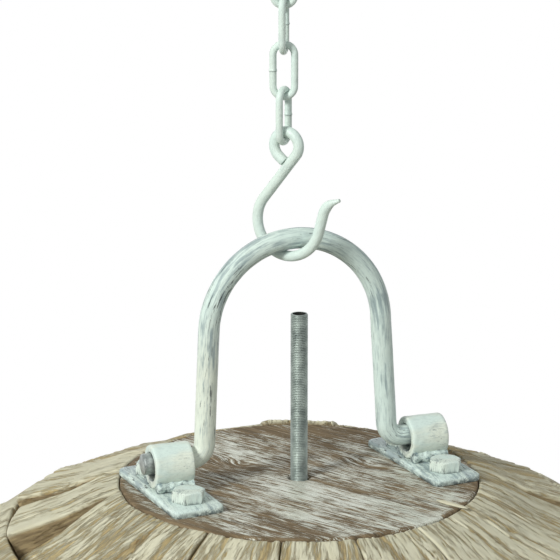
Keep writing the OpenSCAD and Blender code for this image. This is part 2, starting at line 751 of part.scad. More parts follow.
// A three-way block on the pan's floor, clear of the three nipples
module terminal_block() {
    block_len = 24;
    block_w = 16;
    block_h = 13;
    way = 7;
    wire_hole = 3.6;
    color(porcelain) at_shade() translate([0, 0, pan_floor]) difference() {
        translate([-block_len / 2, -block_w / 2, 0]) cube([block_len, block_w, block_h]);
        for (k = [-1, 0, 1])
            translate([k * way, -block_w / 2 - 1, block_h / 2]) rotate([-90, 0, 0])
                cylinder(d = wire_hole, h = block_w + 2);
    }
}

module holder_nipples() {
    color(zinc) at_shade() for (i = [0 : LAMPS - 1]) at_lamp(i)
        translate([0, 0, nipple_low]) washer(tube_d, tube_bore, nipple_len);
}

module nipple_nuts() {
    color(zinc) at_shade() for (i = [0 : LAMPS - 1]) at_lamp(i)
        translate([0, 0, pan_floor]) nut(tube_nut_af, tube_d + thread_play, tube_nut_h);
}

module lampholder(i) {
    outer_r = holder_d / 2;
    shoulder_z = holder_top - holder_neck_h;
    lip = 1;
    color(porcelain) at_shade() at_lamp(i) difference() {
        rotate_extrude() polygon([
            [0, holder_top], [holder_neck_r, holder_top], [holder_neck_r, shoulder_z],
            [outer_r - 4, shoulder_z - 4], [outer_r - 1, shoulder_z - 10],
            [outer_r - 1, holder_lip_z + 6], [outer_r, holder_lip_z + 5],
            [outer_r, holder_lip_z + lip], [outer_r - lip, holder_lip_z], [0, holder_lip_z]
        ]);
        translate([0, 0, nipple_low - end_gap])
            cylinder(d = tube_d + thread_play, h = holder_top - nipple_low + 1);
        translate([0, 0, holder_lip_z - 1]) cylinder(d = holder_bore, h = holder_depth + 1);
    }
}

module bulb_cap(i) {
    tip_d = 9;
    color(brass) at_shade() at_lamp(i) translate([0, 0, cap_low]) difference() {
        union() {
            cylinder(d = cap_d, h = cap_h - 3);
            translate([0, 0, cap_h - 3]) cylinder(d1 = cap_d, d2 = tip_d, h = 3);
            translate([0, 0, cap_h]) cylinder(d = tip_d, h = cap_tip_h);
        }
        translate([0, 0, -1]) cylinder(d = cap_d - 2, h = cap_h - 3);
    }
}

module glass_body(wall) {
    ball_r = glass_d / 2 - wall;
    neck_r = glass_neck_r - wall;
    cone_end = glass_ball_z + ball_r * 0.5;
    translate([0, 0, glass_ball_z]) sphere(r = ball_r);
    translate([0, 0, cone_end]) cylinder(
        r1 = sqrt(ball_r * ball_r - pow(cone_end - glass_ball_z, 2)), r2 = neck_r,
        h = glass_top - 8 - cone_end
    );
    translate([0, 0, glass_top - 8]) cylinder(r = neck_r, h = 8 + wall);
}

module bulb_glass(i) {
    color(opal) at_shade() at_lamp(i) difference() {
        intersection() {
            glass_body(0);
            translate([0, 0, glass_top - 2 * glass_h]) cylinder(d = 2 * glass_d, h = 2 * glass_h);
        }
        glass_body(glass_t);
    }
}

ceiling_plate();
ceiling_eye();
eye_nut();
for (i = [0 : last_link])
    chain_link(i);
hanging_hook();
bail();
lug_plate(-1);  // lug_plate_left
lug_plate(1);  // lug_plate_right
lug_tube(-1);  // lug_tube_left
lug_tube(1);  // lug_tube_right
lug_weld(-1);  // lug_weld_left
lug_weld(1);  // lug_weld_right
lug_bolts();
bolt_washers();
bolt_nuts();
top_disc();
for (c = [0 : course_count - 1])
    stave_course(c);
liner_upper();
liner_lower();
frame_plate();
frame_ribs();
frame_hoop();
rim_hoop();
threaded_tube();
tube_nuts();
tube_washers();
cluster_cover();
cluster_body();
cluster_screws();
terminal_block();
holder_nipples();
nipple_nuts();
for (i = [0 : LAMPS - 1]) {
    lampholder(i);
    bulb_cap(i);
    bulb_glass(i);
}
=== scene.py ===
# %% [markdown]
# # A wooden dome lamp on a painted bail
#
# The lamp is a half sphere of rough, limewashed boards under a round wooden top. A bent steel
# bar, the bail, is hinged to that top. It hangs in an open hook, and the hook hangs on a short
# welded chain. A hollow threaded tube comes up through the top, for the flex.
#
# The solids come in as a fixed frame. This script dresses them: it keeps the ones whose shape is
# already right, and builds finer meshes over the ones that a person looks at closely.

# %% The frame and the tools
import itertools
import json
import math

import bpy
import numpy as np
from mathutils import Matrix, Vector


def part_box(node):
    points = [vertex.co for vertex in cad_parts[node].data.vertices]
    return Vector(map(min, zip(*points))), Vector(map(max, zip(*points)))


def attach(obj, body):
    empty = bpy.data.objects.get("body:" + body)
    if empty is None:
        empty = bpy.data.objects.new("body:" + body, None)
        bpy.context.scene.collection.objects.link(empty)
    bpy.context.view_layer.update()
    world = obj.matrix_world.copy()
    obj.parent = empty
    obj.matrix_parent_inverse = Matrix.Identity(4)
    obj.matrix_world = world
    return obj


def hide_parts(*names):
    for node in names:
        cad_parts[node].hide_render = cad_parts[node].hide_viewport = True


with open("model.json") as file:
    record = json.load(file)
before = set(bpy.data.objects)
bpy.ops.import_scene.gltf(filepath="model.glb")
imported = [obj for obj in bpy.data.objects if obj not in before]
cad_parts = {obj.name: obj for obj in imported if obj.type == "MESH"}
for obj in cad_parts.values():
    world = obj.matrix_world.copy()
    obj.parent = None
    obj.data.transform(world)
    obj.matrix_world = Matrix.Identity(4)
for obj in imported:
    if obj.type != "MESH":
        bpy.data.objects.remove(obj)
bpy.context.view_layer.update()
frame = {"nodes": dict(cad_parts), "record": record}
MM = 0.001
node_objects = frame["nodes"]
joints = {joint["name"]: joint for joint in frame["record"]["behaviour"]["joints"]}

# %% [markdown]
# ## Where things are
#
# Every place below is read from the frame, so that a piece sits where its solid sits. The shade
# has its own zero, level with the boards' upper inner edges; the disc stands 2 mm higher. The
# hinge is where the bail turns.

# %% Places read from the frame
disc_low, disc_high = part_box("top_disc")
DISC_PROUD = 2 * MM
SHADE = Vector((
    (disc_low.x + disc_high.x) / 2, (disc_low.y + disc_high.y) / 2, disc_high.z - DISC_PROUD))
DISC_R = (disc_high.x - disc_low.x) / 2
DISC_T = disc_high.z - disc_low.z
HINGE = Vector(joints["shade_tilt"]["pos_m"])
SEAT = Vector(joints["bail_swing"]["pos_m"])
rim_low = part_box("stave_course_7")[0]
DOME_R = 400 * MM
DOME_MIDDLE = np.array(SHADE) - np.array([0, 0, math.sqrt(DOME_R ** 2 - DISC_R ** 2)])
print("disc radius", round(DISC_R / MM, 1), "mm, mouth at", round(rim_low.z / MM, 1), "mm")

# %% [markdown]
# ## The camera
#
# The photograph was taken from a little above, with a long lens: the sides of the bail hardly
# lean together. The camera stands about 1.3 m from the disc, turned 20 degrees about an upright
# line and tipped down 14 degrees. It comes first, because everything else is judged through it.

# %% Camera
CAMERA_FROM_DISC = Vector((-439.2, -1149.7, 418.9)) * MM
CAMERA_TURN = math.radians(20.4)
CAMERA_TIP = math.radians(13.702)
LENS_MM = 144.4

camera_data = bpy.data.cameras.new("camera")
camera_data.sensor_width = 36
camera_data.lens = LENS_MM
camera_data.clip_end = 50
camera = bpy.data.objects.new("camera", camera_data)
camera.location = SHADE + CAMERA_FROM_DISC
camera_forward = Vector((
    math.sin(CAMERA_TURN) * math.cos(CAMERA_TIP),
    math.cos(CAMERA_TURN) * math.cos(CAMERA_TIP),
    -math.sin(CAMERA_TIP),
))
camera.rotation_euler = camera_forward.to_track_quat("-Z", "Y").to_euler()
scene = bpy.context.scene
scene.collection.objects.link(camera)
scene.camera = camera
print("camera at", [round(v, 3) for v in camera.location])

# %% [markdown]
# ## Light
#
# A soft studio: one even white sky that lights from all round, and three broad lamps. The lamp
# on the left and in front is the strongest, which leaves the right flanks a little darker. The
# sky is pure white only where the camera, a reflection or a glass looks straight at it.

# %% World and lamps
SKY_LIGHT = 0.48
SKY_TINT = (0.94, 1, 0.965)
WHITE = (1, 1, 1)
LAMP_TINT = (0.965, 1, 0.95)


def add_node(tree, kind, feeds=None, **settings):
    """A node with its settings. Links, numbers, colours and vectors are fed into its sockets."""
    made = tree.nodes.new(kind)
    for key, value in settings.items():
        setattr(made, key, value)
    for key, value in (feeds or {}).items():
        socket = made.inputs[key]
        if isinstance(value, bpy.types.NodeSocket):
            tree.links.new(value, socket)
        else:
            socket.default_value = (*value, 1) if socket.type == "RGBA" else value
    return made


def seen_directly(tree):
    """1 for a ray from the camera, or one that a shiny or clear surface sends on, and else 0."""
    path = add_node(tree, "ShaderNodeLightPath").outputs
    found = path["Is Camera Ray"]
    for kind in ("Is Glossy Ray", "Is Transmission Ray"):
        either = add_node(tree, "ShaderNodeMath", {0: found, 1: path[kind]}, operation="MAXIMUM")
        found = either.outputs[0]
    return found


scene.view_settings.view_transform = "Standard"
world = bpy.data.worlds.new("studio")
world.use_nodes = True
scene.world = world
sky = world.node_tree
sky.nodes.clear()
lit, seen = (add_node(sky, "ShaderNodeBackground", {"Color": colour, "Strength": strength}).outputs[0]
             for colour, strength in ((SKY_TINT, SKY_LIGHT), (WHITE, 1)))
glow = add_node(sky, "ShaderNodeMixShader", {0: seen_directly(sky), 1: lit, 2: seen})
add_node(sky, "ShaderNodeOutputWorld", {"Surface": glow.outputs[0]})


def soft_lamp(name, offset, width, power, aim):
    """A square area lamp, offset from the disc and turned towards a point near it."""
    data = bpy.data.lights.new(name, "AREA")
    data.size = width
    data.energy = power
    data.color = LAMP_TINT
    lamp = bpy.data.objects.new(name, data)
    lamp.location = SHADE + Vector(offset)
    towards = SHADE + Vector(aim) - lamp.location
    lamp.rotation_euler = towards.to_track_quat("-Z", "Y").to_euler()
    scene.collection.objects.link(lamp)


soft_lamp("lamp_key", (-2.0, -1.0, 1.4), 0.6, 54, (0, 0, 0.05))
soft_lamp("lamp_fill", (1.6, -1.6, 0.6), 1.6, 2, (0, 0, -0.1))
soft_lamp("lamp_below", (0.4, -1.0, -1.5), 1.4, 2, (0, 0, -0.3))

# %% [markdown]
# ## Making finishes
#
# A finish is a small tree of nodes. These helpers keep each tree short: a place to read the
# surface from, a noise, a ramp of colours, a mix, and a bump. Wood and brushed paint need
# stretched noise, so the place can be scaled by a different amount along each direction. Every
# node comes from the same short function that made the sky's.


# %% Finish helper
class Finish:
    """One material while it is being put together."""

    def __init__(self, name, roughness=0.6, metallic=0.0):
        self.material = bpy.data.materials.new(name)
        self.material.use_nodes = True
        self.tree = self.material.node_tree
        self.shader = self.tree.nodes["Principled BSDF"]
        self.shader.inputs["Roughness"].default_value = roughness
        self.shader.inputs["Metallic"].default_value = metallic

    def node(self, kind, feeds=None, **settings):
        """One more node in this finish."""
        return add_node(self.tree, kind, feeds, **settings)

    def place(self, attribute=None, scale=(1, 1, 1), slant=0.0):
        """Where on the piece a point is, in metres, turned by slant and stretched by scale."""
        if attribute:
            found = self.node("ShaderNodeAttribute", attribute_name=attribute).outputs["Vector"]
        else:
            found = self.node("ShaderNodeTexCoord").outputs["Object"]
        if slant:
            found = self.node(
                "ShaderNodeMapping", {"Vector": found, "Rotation": (0, 0, slant)}).outputs[0]
        return self.node("ShaderNodeMapping", {"Vector": found, "Scale": scale}).outputs[0]

    def value(self, attribute):
        """A number that is kept on the piece's points, or 0 where it has none of that name."""
        return self.node("ShaderNodeAttribute", attribute_name=attribute).outputs["Fac"]

    def noise(self, place, scale, detail=3.0, rough=0.55, twist=0.0):
        return self.node("ShaderNodeTexNoise", {
            "Vector": place, "Scale": scale, "Detail": detail, "Roughness": rough,
            "Distortion": twist}).outputs["Fac"]

    def streaks(self, attribute, along, scale, detail, rough, slant=0.0, twist=0.0):
        """Noise that is drawn out along the first direction where along is small."""
        return self.noise(self.place(attribute, (along, 1, 1), slant), scale, detail, rough, twist)

    def times(self, first, second):
        return self.node("ShaderNodeMath", {0: first, 1: second}, operation="MULTIPLY").outputs[0]

    def plus(self, *values, clamp=False):
        """A sum, held between 0 and 1 where clamp is true."""
        total = values[0]
        for value in values[1:]:
            total = self.node(
                "ShaderNodeMath", {0: total, 1: value}, operation="ADD", use_clamp=clamp).outputs[0]
        return total

    def between(self, value, low, high, start=0.0, end=1.0):
        """Start below low, end above high, and a smooth step between them. Low may be above high."""
        return self.node("ShaderNodeMapRange", {
            "Value": value, "From Min": low, "From Max": high, "To Min": start, "To Max": end},
            interpolation_type="SMOOTHSTEP").outputs["Result"]

    def ramp(self, value, stops):
        """Colours at places from 0 to 1, blended between."""
        made = self.node("ShaderNodeValToRGB", {"Fac": value})
        band = made.color_ramp
        while len(band.elements) < len(stops):
            band.elements.new(0.5)
        for element, (at, colour) in zip(band.elements, stops):
            element.position = at
            element.color = (*colour, 1)
        return made.outputs["Color"]

    def mix(self, share, first, second):
        return self.node("ShaderNodeMix", {0: share, 6: first, 7: second}, data_type="RGBA").outputs[2]

    def bump(self, height, depth, under=None):
        """Bends the light as if the surface rose by depth where height is 1, on top of under."""
        feeds = {"Height": height, "Distance": depth, "Strength": 1}
        if under is not None:
            feeds["Normal"] = under
        return self.node("ShaderNodeBump", feeds).outputs["Normal"]

    def finish(self, colour, roughness=None, normal=None):
        """Links what varies to the shader and gives the material back."""
        for key, link in (("Base Color", colour), ("Roughness", roughness), ("Normal", normal)):
            if link is not None:
                self.tree.links.new(link, self.shader.inputs[key])
        return self.material


print("finish helper:", ", ".join(step for step in vars(Finish) if not step.startswith("_")))

# %% [markdown]
# ## The floor
#
# The lamp hangs in a room, so its floor is well below it. It is a plain pale sheet that shows
# white to the camera and still keeps the faint shadow of the dome.

# %% Floor
FLOOR_DROP = 1.3
FLOOR_HALF = 9
FLOOR_GREY = (0.42, 0.42, 0.40, 1)
SHADOW_SHARE = 0.14
SHADOW_FROM, SHADOW_TO = 0.3, 2.2
floor_z = rim_low.z - FLOOR_DROP
floor_mesh = bpy.data.meshes.new("floor")
floor_mesh.from_pydata(
    [(x * FLOOR_HALF, y * FLOOR_HALF, floor_z) for x, y in ((-1, -1), (1, -1), (1, 1), (-1, 1))],
    [], [(0, 1, 2, 3)])
floor = bpy.data.objects.new("floor", floor_mesh)
scene.collection.objects.link(floor)

make = Finish("pale floor", roughness=0.9)
make.shader.inputs["Base Color"].default_value = FLOOR_GREY
white = make.node("ShaderNodeEmission", {"Color": WHITE, "Strength": 1})
spot = make.node("ShaderNodeTexCoord").outputs["Object"]
away = make.node("ShaderNodeVectorMath", {0: spot, 1: (SHADE.x, SHADE.y, floor_z)}, operation="DISTANCE")
whiteness = make.between(away.outputs["Value"], SHADOW_FROM, SHADOW_TO, start=1 - SHADOW_SHARE)
shown = make.node("ShaderNodeMixShader", {
    0: make.times(whiteness, seen_directly(make.tree)), 1: make.shader.outputs[0], 2: white.outputs[0]})
make.tree.links.new(shown.outputs[0], make.tree.nodes["Material Output"].inputs["Surface"])
floor_mesh.materials.append(make.material)
print("floor at", round(floor_z, 3), "m")

# %% [markdown]
# ## The paint on the steel
#
# All the ironwork is brushed with a pale green-white paint over a blue-grey coat. On the bail
# the brush ran along the bar, so the streaks of the under coat do too. The chain and the hook
# were dipped and are nearly plain. The same recipe serves both, with more or less under coat.

# %% Painted steel
PAINT_PALE = (0.68, 0.78, 0.745)
PAINT_CREAM = (0.76, 0.79, 0.70)
UNDER_COAT = (0.20, 0.265, 0.295)
BARE_MARK = (0.05, 0.06, 0.065)
# A dark tone, used both for grime and for painted shade at feet and in recesses.
GRIME_AND_SHADE = (0.10, 0.125, 0.13)


def painted_steel(name, wear, along=0.12, attribute="skin", cream=1.0, lumpy=1.0):
    """Brushed paint whose streaks run along the first direction of the skin. Wear is 0 to 1.5."""
    make = Finish(name, roughness=0.42)
    wide = make.place(attribute, (0.35, 1, 1))
    streak = make.place(attribute, (along, 1, 1))
    warm = make.times(make.between(make.noise(wide, 60, 3), 0.40, 0.60), cream)
    warm = make.plus(warm, make.value("creamy"), clamp=True)
    colour = make.mix(warm, PAINT_PALE, PAINT_CREAM)
    hair = make.between(make.noise(streak, 1500, 4, 0.6), 0.46, 0.68)
    colour = make.mix(make.times(hair, 0.06 + 0.30 * wear), colour, UNDER_COAT)
    brushed = make.noise(streak, 520, 5, 0.62)
    patch = make.noise(wide, 95, 4, 0.6)
    lean = make.plus(make.times(brushed, 0.5), make.times(patch, 0.5), make.value("thinner"))
    thin = make.between(lean, 0.60 - 0.10 * wear, 0.67 - 0.06 * wear)
    colour = make.mix(make.times(thin, 0.12 + 0.6 * wear), colour, UNDER_COAT)
    scuff = make.between(make.noise(streak, 900, 6, 0.7), 0.57, 0.61)
    where = make.plus(make.noise(wide, 70, 3, 0.6), make.value("thinner"))
    chip = make.times(scuff, make.between(where, 0.54 - 0.06 * wear, 0.60))
    colour = make.mix(make.times(chip, min(1, wear)), colour, BARE_MARK)
    # The edge value darkens the paint: painted shade where a piece sets it from its shape, and grime
    # where it is set at random, as on the welds.
    grime_and_shade = make.times(make.value("edge"), make.between(brushed, 0.30, 0.62))
    colour = make.mix(grime_and_shade, colour, GRIME_AND_SHADE)
    ridges = make.noise(streak, 420, 4, 0.6)
    lumps = make.noise(make.place(attribute), 180, 4, 0.6)
    normal = make.bump(lumps, 0.0006 * lumpy, make.bump(ridges, 0.00025))
    return make.finish(colour, make.between(patch, 0.9, 0.2), normal)


bail_paint = painted_steel("brushed paint on the bail", 1.0, along=0.085, cream=0.2)
wire_paint = painted_steel("dipped paint on hook and chain", 0.10, along=0.3, cream=0.25)
print("paints:", bail_paint.name, "and", wire_paint.name)

# %% [markdown]
# Where the rod comes out of its tube the paint has rubbed off, and the lamp tube and the
# fasteners under the dome were only ever galvanised. Both are grey metal with a cloudy bloom.
# Inside the lamp tube the same steel is nearly black: painted shade, so that it reads as a deep hole.

# %% Bare and galvanised steel
def grey_steel(name, dark, light, roughness, scale=140.0):
    """Metal with a cloudy bloom of two greys. A larger scale makes the clouds smaller."""
    make = Finish(name, metallic=0.75)
    cloud = make.noise(make.place(), scale, 5, 0.65)
    colour = make.ramp(cloud, [(0.3, dark), (0.7, light)])
    fine = make.noise(make.place(), scale * 9, 3)
    rough = make.plus(make.times(fine, 0.25), roughness - 0.12)
    return make.finish(colour, rough, make.bump(fine, 0.00006))


galvanised = grey_steel("galvanised steel", (0.17, 0.20, 0.19), (0.40, 0.45, 0.42), 0.5)
bare_steel = grey_steel("rubbed steel", (0.17, 0.19, 0.185), (0.52, 0.56, 0.54), 0.42, 300)
# Painted shade: this nearly black steel stands for the shade deep inside the lamp tube's bore.
painted_shade_steel = grey_steel("painted shade inside the tube", (0.015, 0.016, 0.015), (0.05, 0.052, 0.046), 0.75)
print("grey metals:", ", ".join(steel.name for steel in (galvanised, bare_steel, painted_shade_steel)))

# %% [markdown]
# ## Noise for shapes
#
# Rough wood and forged bars need uneven surfaces, not only uneven colours. This noise works on
# whole arrays of points at once, and gives the same answer every time for the same seed.


# %% Noise on arrays of points
def soft_noise(points, seed=0):
    """Smooth noise between 0 and 1 at each row of an array of points, one cell per unit."""
    points = np.asarray(points, dtype=float)
    cell = np.floor(points).astype(np.int64)
    part = points - cell
    part = part * part * (3 - 2 * part)
    total = np.zeros(len(points))
    for corner in itertools.product((0, 1), repeat=3):
        at = cell + np.array(corner)
        key = at[:, 0] * 73856093 ^ at[:, 1] * 19349663 ^ at[:, 2] * 83492791 ^ seed * 2654435761
        key = (key ^ (key >> 13)) * 1274126177 & 0xFFFFFFFF
        key = (key ^ (key >> 16)) * 2246822519 & 0xFFFFFFFF
        share = np.prod(np.where(np.array(corner) == 1, part, 1 - part), axis=1)
        total += share * ((key >> 8) & 0xFFFF) / 65535
    return total


def rough_noise(points, octaves=4, seed=0, fade=0.5):
    """Several layers of soft noise, each twice as fine and fainter, still about 0 to 1."""
    total = 0
    weight = 0
    for layer in range(octaves):
        share = fade ** layer
        total = total + share * soft_noise(np.asarray(points) * 2 ** layer + 17.3 * layer, seed + layer)
        weight += share
    return total / weight


def grain_noise(along, across, long, wide, octaves, seed, level=0.0):
    """Rough noise with lumps of so many mm along and across the grain, at one level of it."""
    flat = np.full(len(along), level)
    return rough_noise(np.stack([along / (long * MM), across / (wide * MM), flat], axis=1), octaves, seed)


def step_up(value, low, high):
    """0 below low, 1 above high, smooth between."""
    part = np.clip((value - low) / (high - low), 0, 1)
    return part * part * (3 - 2 * part)


print("noise at one point:", round(float(rough_noise([[0.3, 1.2, 2.1]])[0]), 4))

# %% [markdown]
# ## From numbers to a piece
#
# Each piece is made the same way: points and faces go into a mesh, any values that its finish
# reads are stored on its points, and the piece is hung under the body it rides on, while the
# solids it stands for are hidden.


# %% Piece helper
def make_piece(name, points, faces, finishes, body, stands_for=(), values=None,
               face_finish=None, crease=35):
    """A mesh object in the frame, smooth except across creases sharper than the angle given."""
    mesh = bpy.data.meshes.new(name)
    mesh.from_pydata(np.asarray(points).tolist(), [], [list(map(int, face)) for face in faces])
    for key, numbers in (values or {}).items():
        numbers = np.asarray(numbers, dtype=float)
        if numbers.ndim == 2:
            mesh.attributes.new(key, "FLOAT_VECTOR", "POINT").data.foreach_set("vector", numbers.ravel())
        else:
            mesh.attributes.new(key, "FLOAT", "POINT").data.foreach_set("value", numbers)
    for finish in finishes:
        mesh.materials.append(finish)
    if face_finish is not None:
        mesh.polygons.foreach_set("material_index", np.asarray(face_finish, dtype=np.int32))
    mesh.validate()
    mesh.shade_smooth()
    mesh.set_sharp_from_angle(angle=math.radians(crease))
    piece = bpy.data.objects.new(name, mesh)
    scene.collection.objects.link(piece)
    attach(piece, body)
    if stands_for:
        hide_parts(*stands_for)
    print(name, "has", len(mesh.polygons), "faces")


# %% [markdown]
# ## Skins from loops
#
# Bars, plates, tubes, bolt heads and the disc can all be built as loops of points, one after
# another, with faces between each loop and the next. That gives every edge its own rounding.


# %% Skins from loops
def stack_loops(loops, ring=False):
    """One skin through loops of equally many points, closed by caps or back to its first loop."""
    loops = np.asarray(loops)
    rows, sides = loops.shape[:2]
    index = np.arange(rows * sides).reshape(rows, sides)
    if ring:
        index = np.concatenate([index, index[:1]])
    ahead = np.roll(index, -1, axis=1)
    faces = np.stack([index[:-1], ahead[:-1], ahead[1:], index[1:]], axis=-1).reshape(-1, 4).tolist()
    if not ring:
        faces += [index[0][::-1].tolist(), index[-1].tolist()]
    return loops.reshape(-1, 3), faces


def join_skins(skins):
    """Several skins as one, each a list of points, faces and any values of its points."""
    points, faces, *values = zip(*skins)
    starts = np.cumsum([0] + [len(spots) for spots in points]).tolist()
    moved = [[index + start for index in face] for start, sides in zip(starts, faces) for face in sides]
    return np.concatenate(points), moved, *map(np.concatenate, values)


def turned(points, degrees, middle=(0, 0, 0)):
    """Points turned about an upright line through their zero, then moved to the middle."""
    c, s = math.cos(math.radians(degrees)), math.sin(math.radians(degrees))
    return points @ np.array([[c, s, 0], [-s, c, 0], [0, 0, 1]]) + np.array(middle)


def round_angles(sides):
    """Even angles all the way round."""
    return np.arange(sides) * 2 * math.pi / sides


def level_ring(radius, height, sides):
    """A level ring of points about an upright line through zero."""
    angle = round_angles(sides)
    return np.stack([radius * np.cos(angle), radius * np.sin(angle), np.full(sides, height)], axis=1)


def dents_in(loops, size, seed):
    """Noise at each point of the loops, with lumps of about the given size."""
    return rough_noise(loops.reshape(-1, 3) / size, 3, seed).reshape(loops.shape[:2])


def walked(path):
    """How far along a line each of its points is."""
    return np.concatenate([[0], np.cumsum(np.linalg.norm(np.diff(path, axis=0), axis=1))])


print("a skin of three loops of four points has", len(stack_loops(np.zeros((3, 4, 3)))[1]), "faces")

# %% [markdown]
# ## Bent bars
#
# The bail, the hook and the links are all round bar bent in one plane. A smith thinks of such a
# bar as a walk: so far straight on, then round a bend of this radius through this angle. The
# walk gives the middle line, and rings of points round it give the bar.


# %% Bent bars
LUMP = 9 * MM


def walk_bar(steps, spacing):
    """Points and directions in a plane, from (length, 0) straights and (radius, degrees) bends."""
    at = np.zeros(2)
    heading = 0.0
    points = [at.copy()]
    headings = [heading]
    for size, turn in steps:
        length = size if turn == 0 else size * abs(math.radians(turn))
        count = max(2, round(length / spacing))
        side = np.sign(turn)
        start, begin = at.copy(), heading
        for k in range(1, count + 1):
            if turn == 0:
                at = start + size * k / count * np.array([math.cos(begin), math.sin(begin)])
            else:
                heading = begin + math.radians(turn) * k / count
                at = start + side * size * np.array([
                    math.sin(heading) - math.sin(begin), math.cos(begin) - math.cos(heading)])
            points.append(at.copy())
            headings.append(heading)
    return np.array(points), np.array(headings)


def bar_rings(path, headings, radii, origin, across, up, sides=28, closed=False, uneven=0.0, seed=0):
    """A bar round a flat path. Returns points, faces and straightened-out places."""
    across, up = np.array(across, dtype=float), np.array(up, dtype=float)
    angle = round_angles(sides)
    radii = np.broadcast_to(radii, len(path))[:, None]
    uneven = np.broadcast_to(uneven, len(path))[:, None]
    sideways = -np.sin(headings)[:, None] * across + np.cos(headings)[:, None] * up
    middle = np.array(origin) + path[:, :1] * across + path[:, 1:] * up
    skin = np.stack([
        np.repeat(walked(path), sides),
        (radii * np.cos(angle)).ravel(),
        (radii * np.sin(angle)).ravel()], axis=1)
    swell = 1 + uneven * (rough_noise(skin / LUMP, 3, seed) - 0.5).reshape(len(path), sides)
    ring = (np.cos(angle)[None, :, None] * sideways[:, None, :]
            + np.sin(angle)[None, :, None] * np.cross(across, up))
    points, faces = stack_loops(middle[:, None, :] + (radii * swell)[:, :, None] * ring, closed)
    return points, faces, skin


def eased_ends(path, headings, radius, ease):
    """Two more rings near each end, so that a cut bar has a small rounded edge."""
    ahead = np.array([math.cos(headings[0]), math.sin(headings[0])])
    back = np.array([math.cos(headings[-1]), math.sin(headings[-1])])
    first = [path[0] + ahead * ease * share for share in (0, 0.3, 1)]
    last = [path[-1] - back * ease * share for share in (1, 0.3, 0)]
    whole = np.concatenate([first, path[1:-1], last])
    turns = np.concatenate([[headings[0]] * 3, headings[1:-1], [headings[-1]] * 3])
    radii = np.full(len(whole), radius)
    radii[[0, -1]] = radius - ease
    radii[[1, -2]] = radius - ease * 0.3
    return whole, turns, radii


print("a quarter bend of 10 mm is", round(walked(walk_bar([(10, 90)], 0.1)[0])[-1], 2), "mm long")

# %% [markdown]
# ## The bail
#
# A 12 mm bar, bent by hand: the crown's two halves have slightly different bends, so its top is
# left of the middle, and both legs lean out a little. Each foot turns outward into its hinge
# tube. The left end stands 5 mm out of its tube, and its paint has rubbed off. How creamy, thin
# or thick the paint is depends on how many mm the bar has run from that end.

# %% Bail
bail_low, bail_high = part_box("bail")
BAR_D = 12 * MM
LEFT_CROWN = (51.6 * MM, 87.3)
RIGHT_CROWN = (52.5 * MM, 86.2)
BEND_R = 9 * MM
STUB = 28 * MM
BARE_END = 7 * MM
CREAMY_UNTIL = (70, 125)
THIN_FROM, THIN_UNTIL = (95, 130), (205, 260)
THICK_UNTIL = (60, 100)
bail_rise = bail_high.z - BAR_D / 2 - HINGE.z


def leg_length(crown):
    """The straight part of a leg, from what the crown and the foot's bend leave of the rise."""
    radius, turn = crown[0] + BEND_R, math.radians(crown[1])
    return (bail_rise - radius * (1 - math.cos(turn))) / math.sin(turn)


bail_walk = [
    (STUB, 0), (BEND_R, LEFT_CROWN[1]), (leg_length(LEFT_CROWN), 0), (LEFT_CROWN[0], -LEFT_CROWN[1]),
    (RIGHT_CROWN[0], -RIGHT_CROWN[1]), (leg_length(RIGHT_CROWN), 0), (BEND_R, RIGHT_CROWN[1]), (STUB, 0)]
bail_path, bail_headings = walk_bar(bail_walk, 1.2 * MM)
bail_path, bail_headings, bail_radii = eased_ends(bail_path, bail_headings, BAR_D / 2, 0.8 * MM)
bail_gone = walked(bail_path)
to_end = np.minimum(bail_gone, bail_gone[-1] - bail_gone)
bail_points, bail_faces, bail_skin = bar_rings(
    bail_path, bail_headings, bail_radii, (bail_low.x, (bail_low.y + bail_high.y) / 2, HINGE.z),
    (1, 0, 0), (0, 0, 1), sides=36, uneven=0.035 * step_up(to_end, STUB, STUB + 8 * MM), seed=3)
bail_bare = [int(bail_skin[face, 0].max() < BARE_END) for face in bail_faces]
gone = bail_skin[:, 0] / MM
creamy = 1 - step_up(gone, *CREAMY_UNTIL)
thinner = (0.05 * step_up(gone, *THIN_FROM) * (1 - step_up(gone, *THIN_UNTIL))
           - 0.07 * (1 - step_up(gone, *THICK_UNTIL)))
make_piece("bail_bar", bail_points, bail_faces, [bail_paint, bare_steel], "bail", ["bail"],
           {"skin": bail_skin, "creamy": creamy, "thinner": thinner}, bail_bare)

# %% [markdown]
# ## The hook
#
# Thinner wire, 6 mm, bent the other way at each end: an eye closed round the last link, a long
# shank, a bowl that carries the bail, and a tip that curls outward and tapers. It is walked in
# two runs that both start at the saddle, the lowest point of the bowl.

# %% Hook
HOOK_WIRE = 6 * MM
HOOK_TURN = math.radians(-52)
SEAT_PLAY = 0.55 * MM
saddle = SEAT - Vector((0, 0, (BAR_D + HOOK_WIRE) / 2 + SEAT_PLAY))
EYE_R = 7.9 * MM
TIP_SHARE = 0.34
hook_front = [(21.1 * MM, 74.7), (11.3 * MM, 0), (11 * MM, -53.6), (4 * MM, 0)]
hook_back = [
    (19.6 * MM, 25.8), (19.6 * MM, 103.1), (33.1 * MM, 0), (EYE_R, -270), (EYE_R - 3.15 * MM, 0)]
front_path, front_headings = walk_bar(hook_front, 0.8 * MM)
back_path, back_headings = walk_bar(hook_back, 0.8 * MM)
back_path = back_path * np.array([-1, 1])
back_headings = math.pi - back_headings
hook_path = np.concatenate([back_path[::-1], front_path[1:]])
hook_headings = np.concatenate([back_headings[::-1] + math.pi, front_headings[1:]])
hook_gone = walked(hook_path)
to_tip = hook_gone[-1] - hook_gone
hook_radii = HOOK_WIRE / 2 * (TIP_SHARE + (1 - TIP_SHARE) * step_up(to_tip, -0.5 * MM, 11 * MM))
hook_radii[0] = HOOK_WIRE / 2 - 0.3 * MM
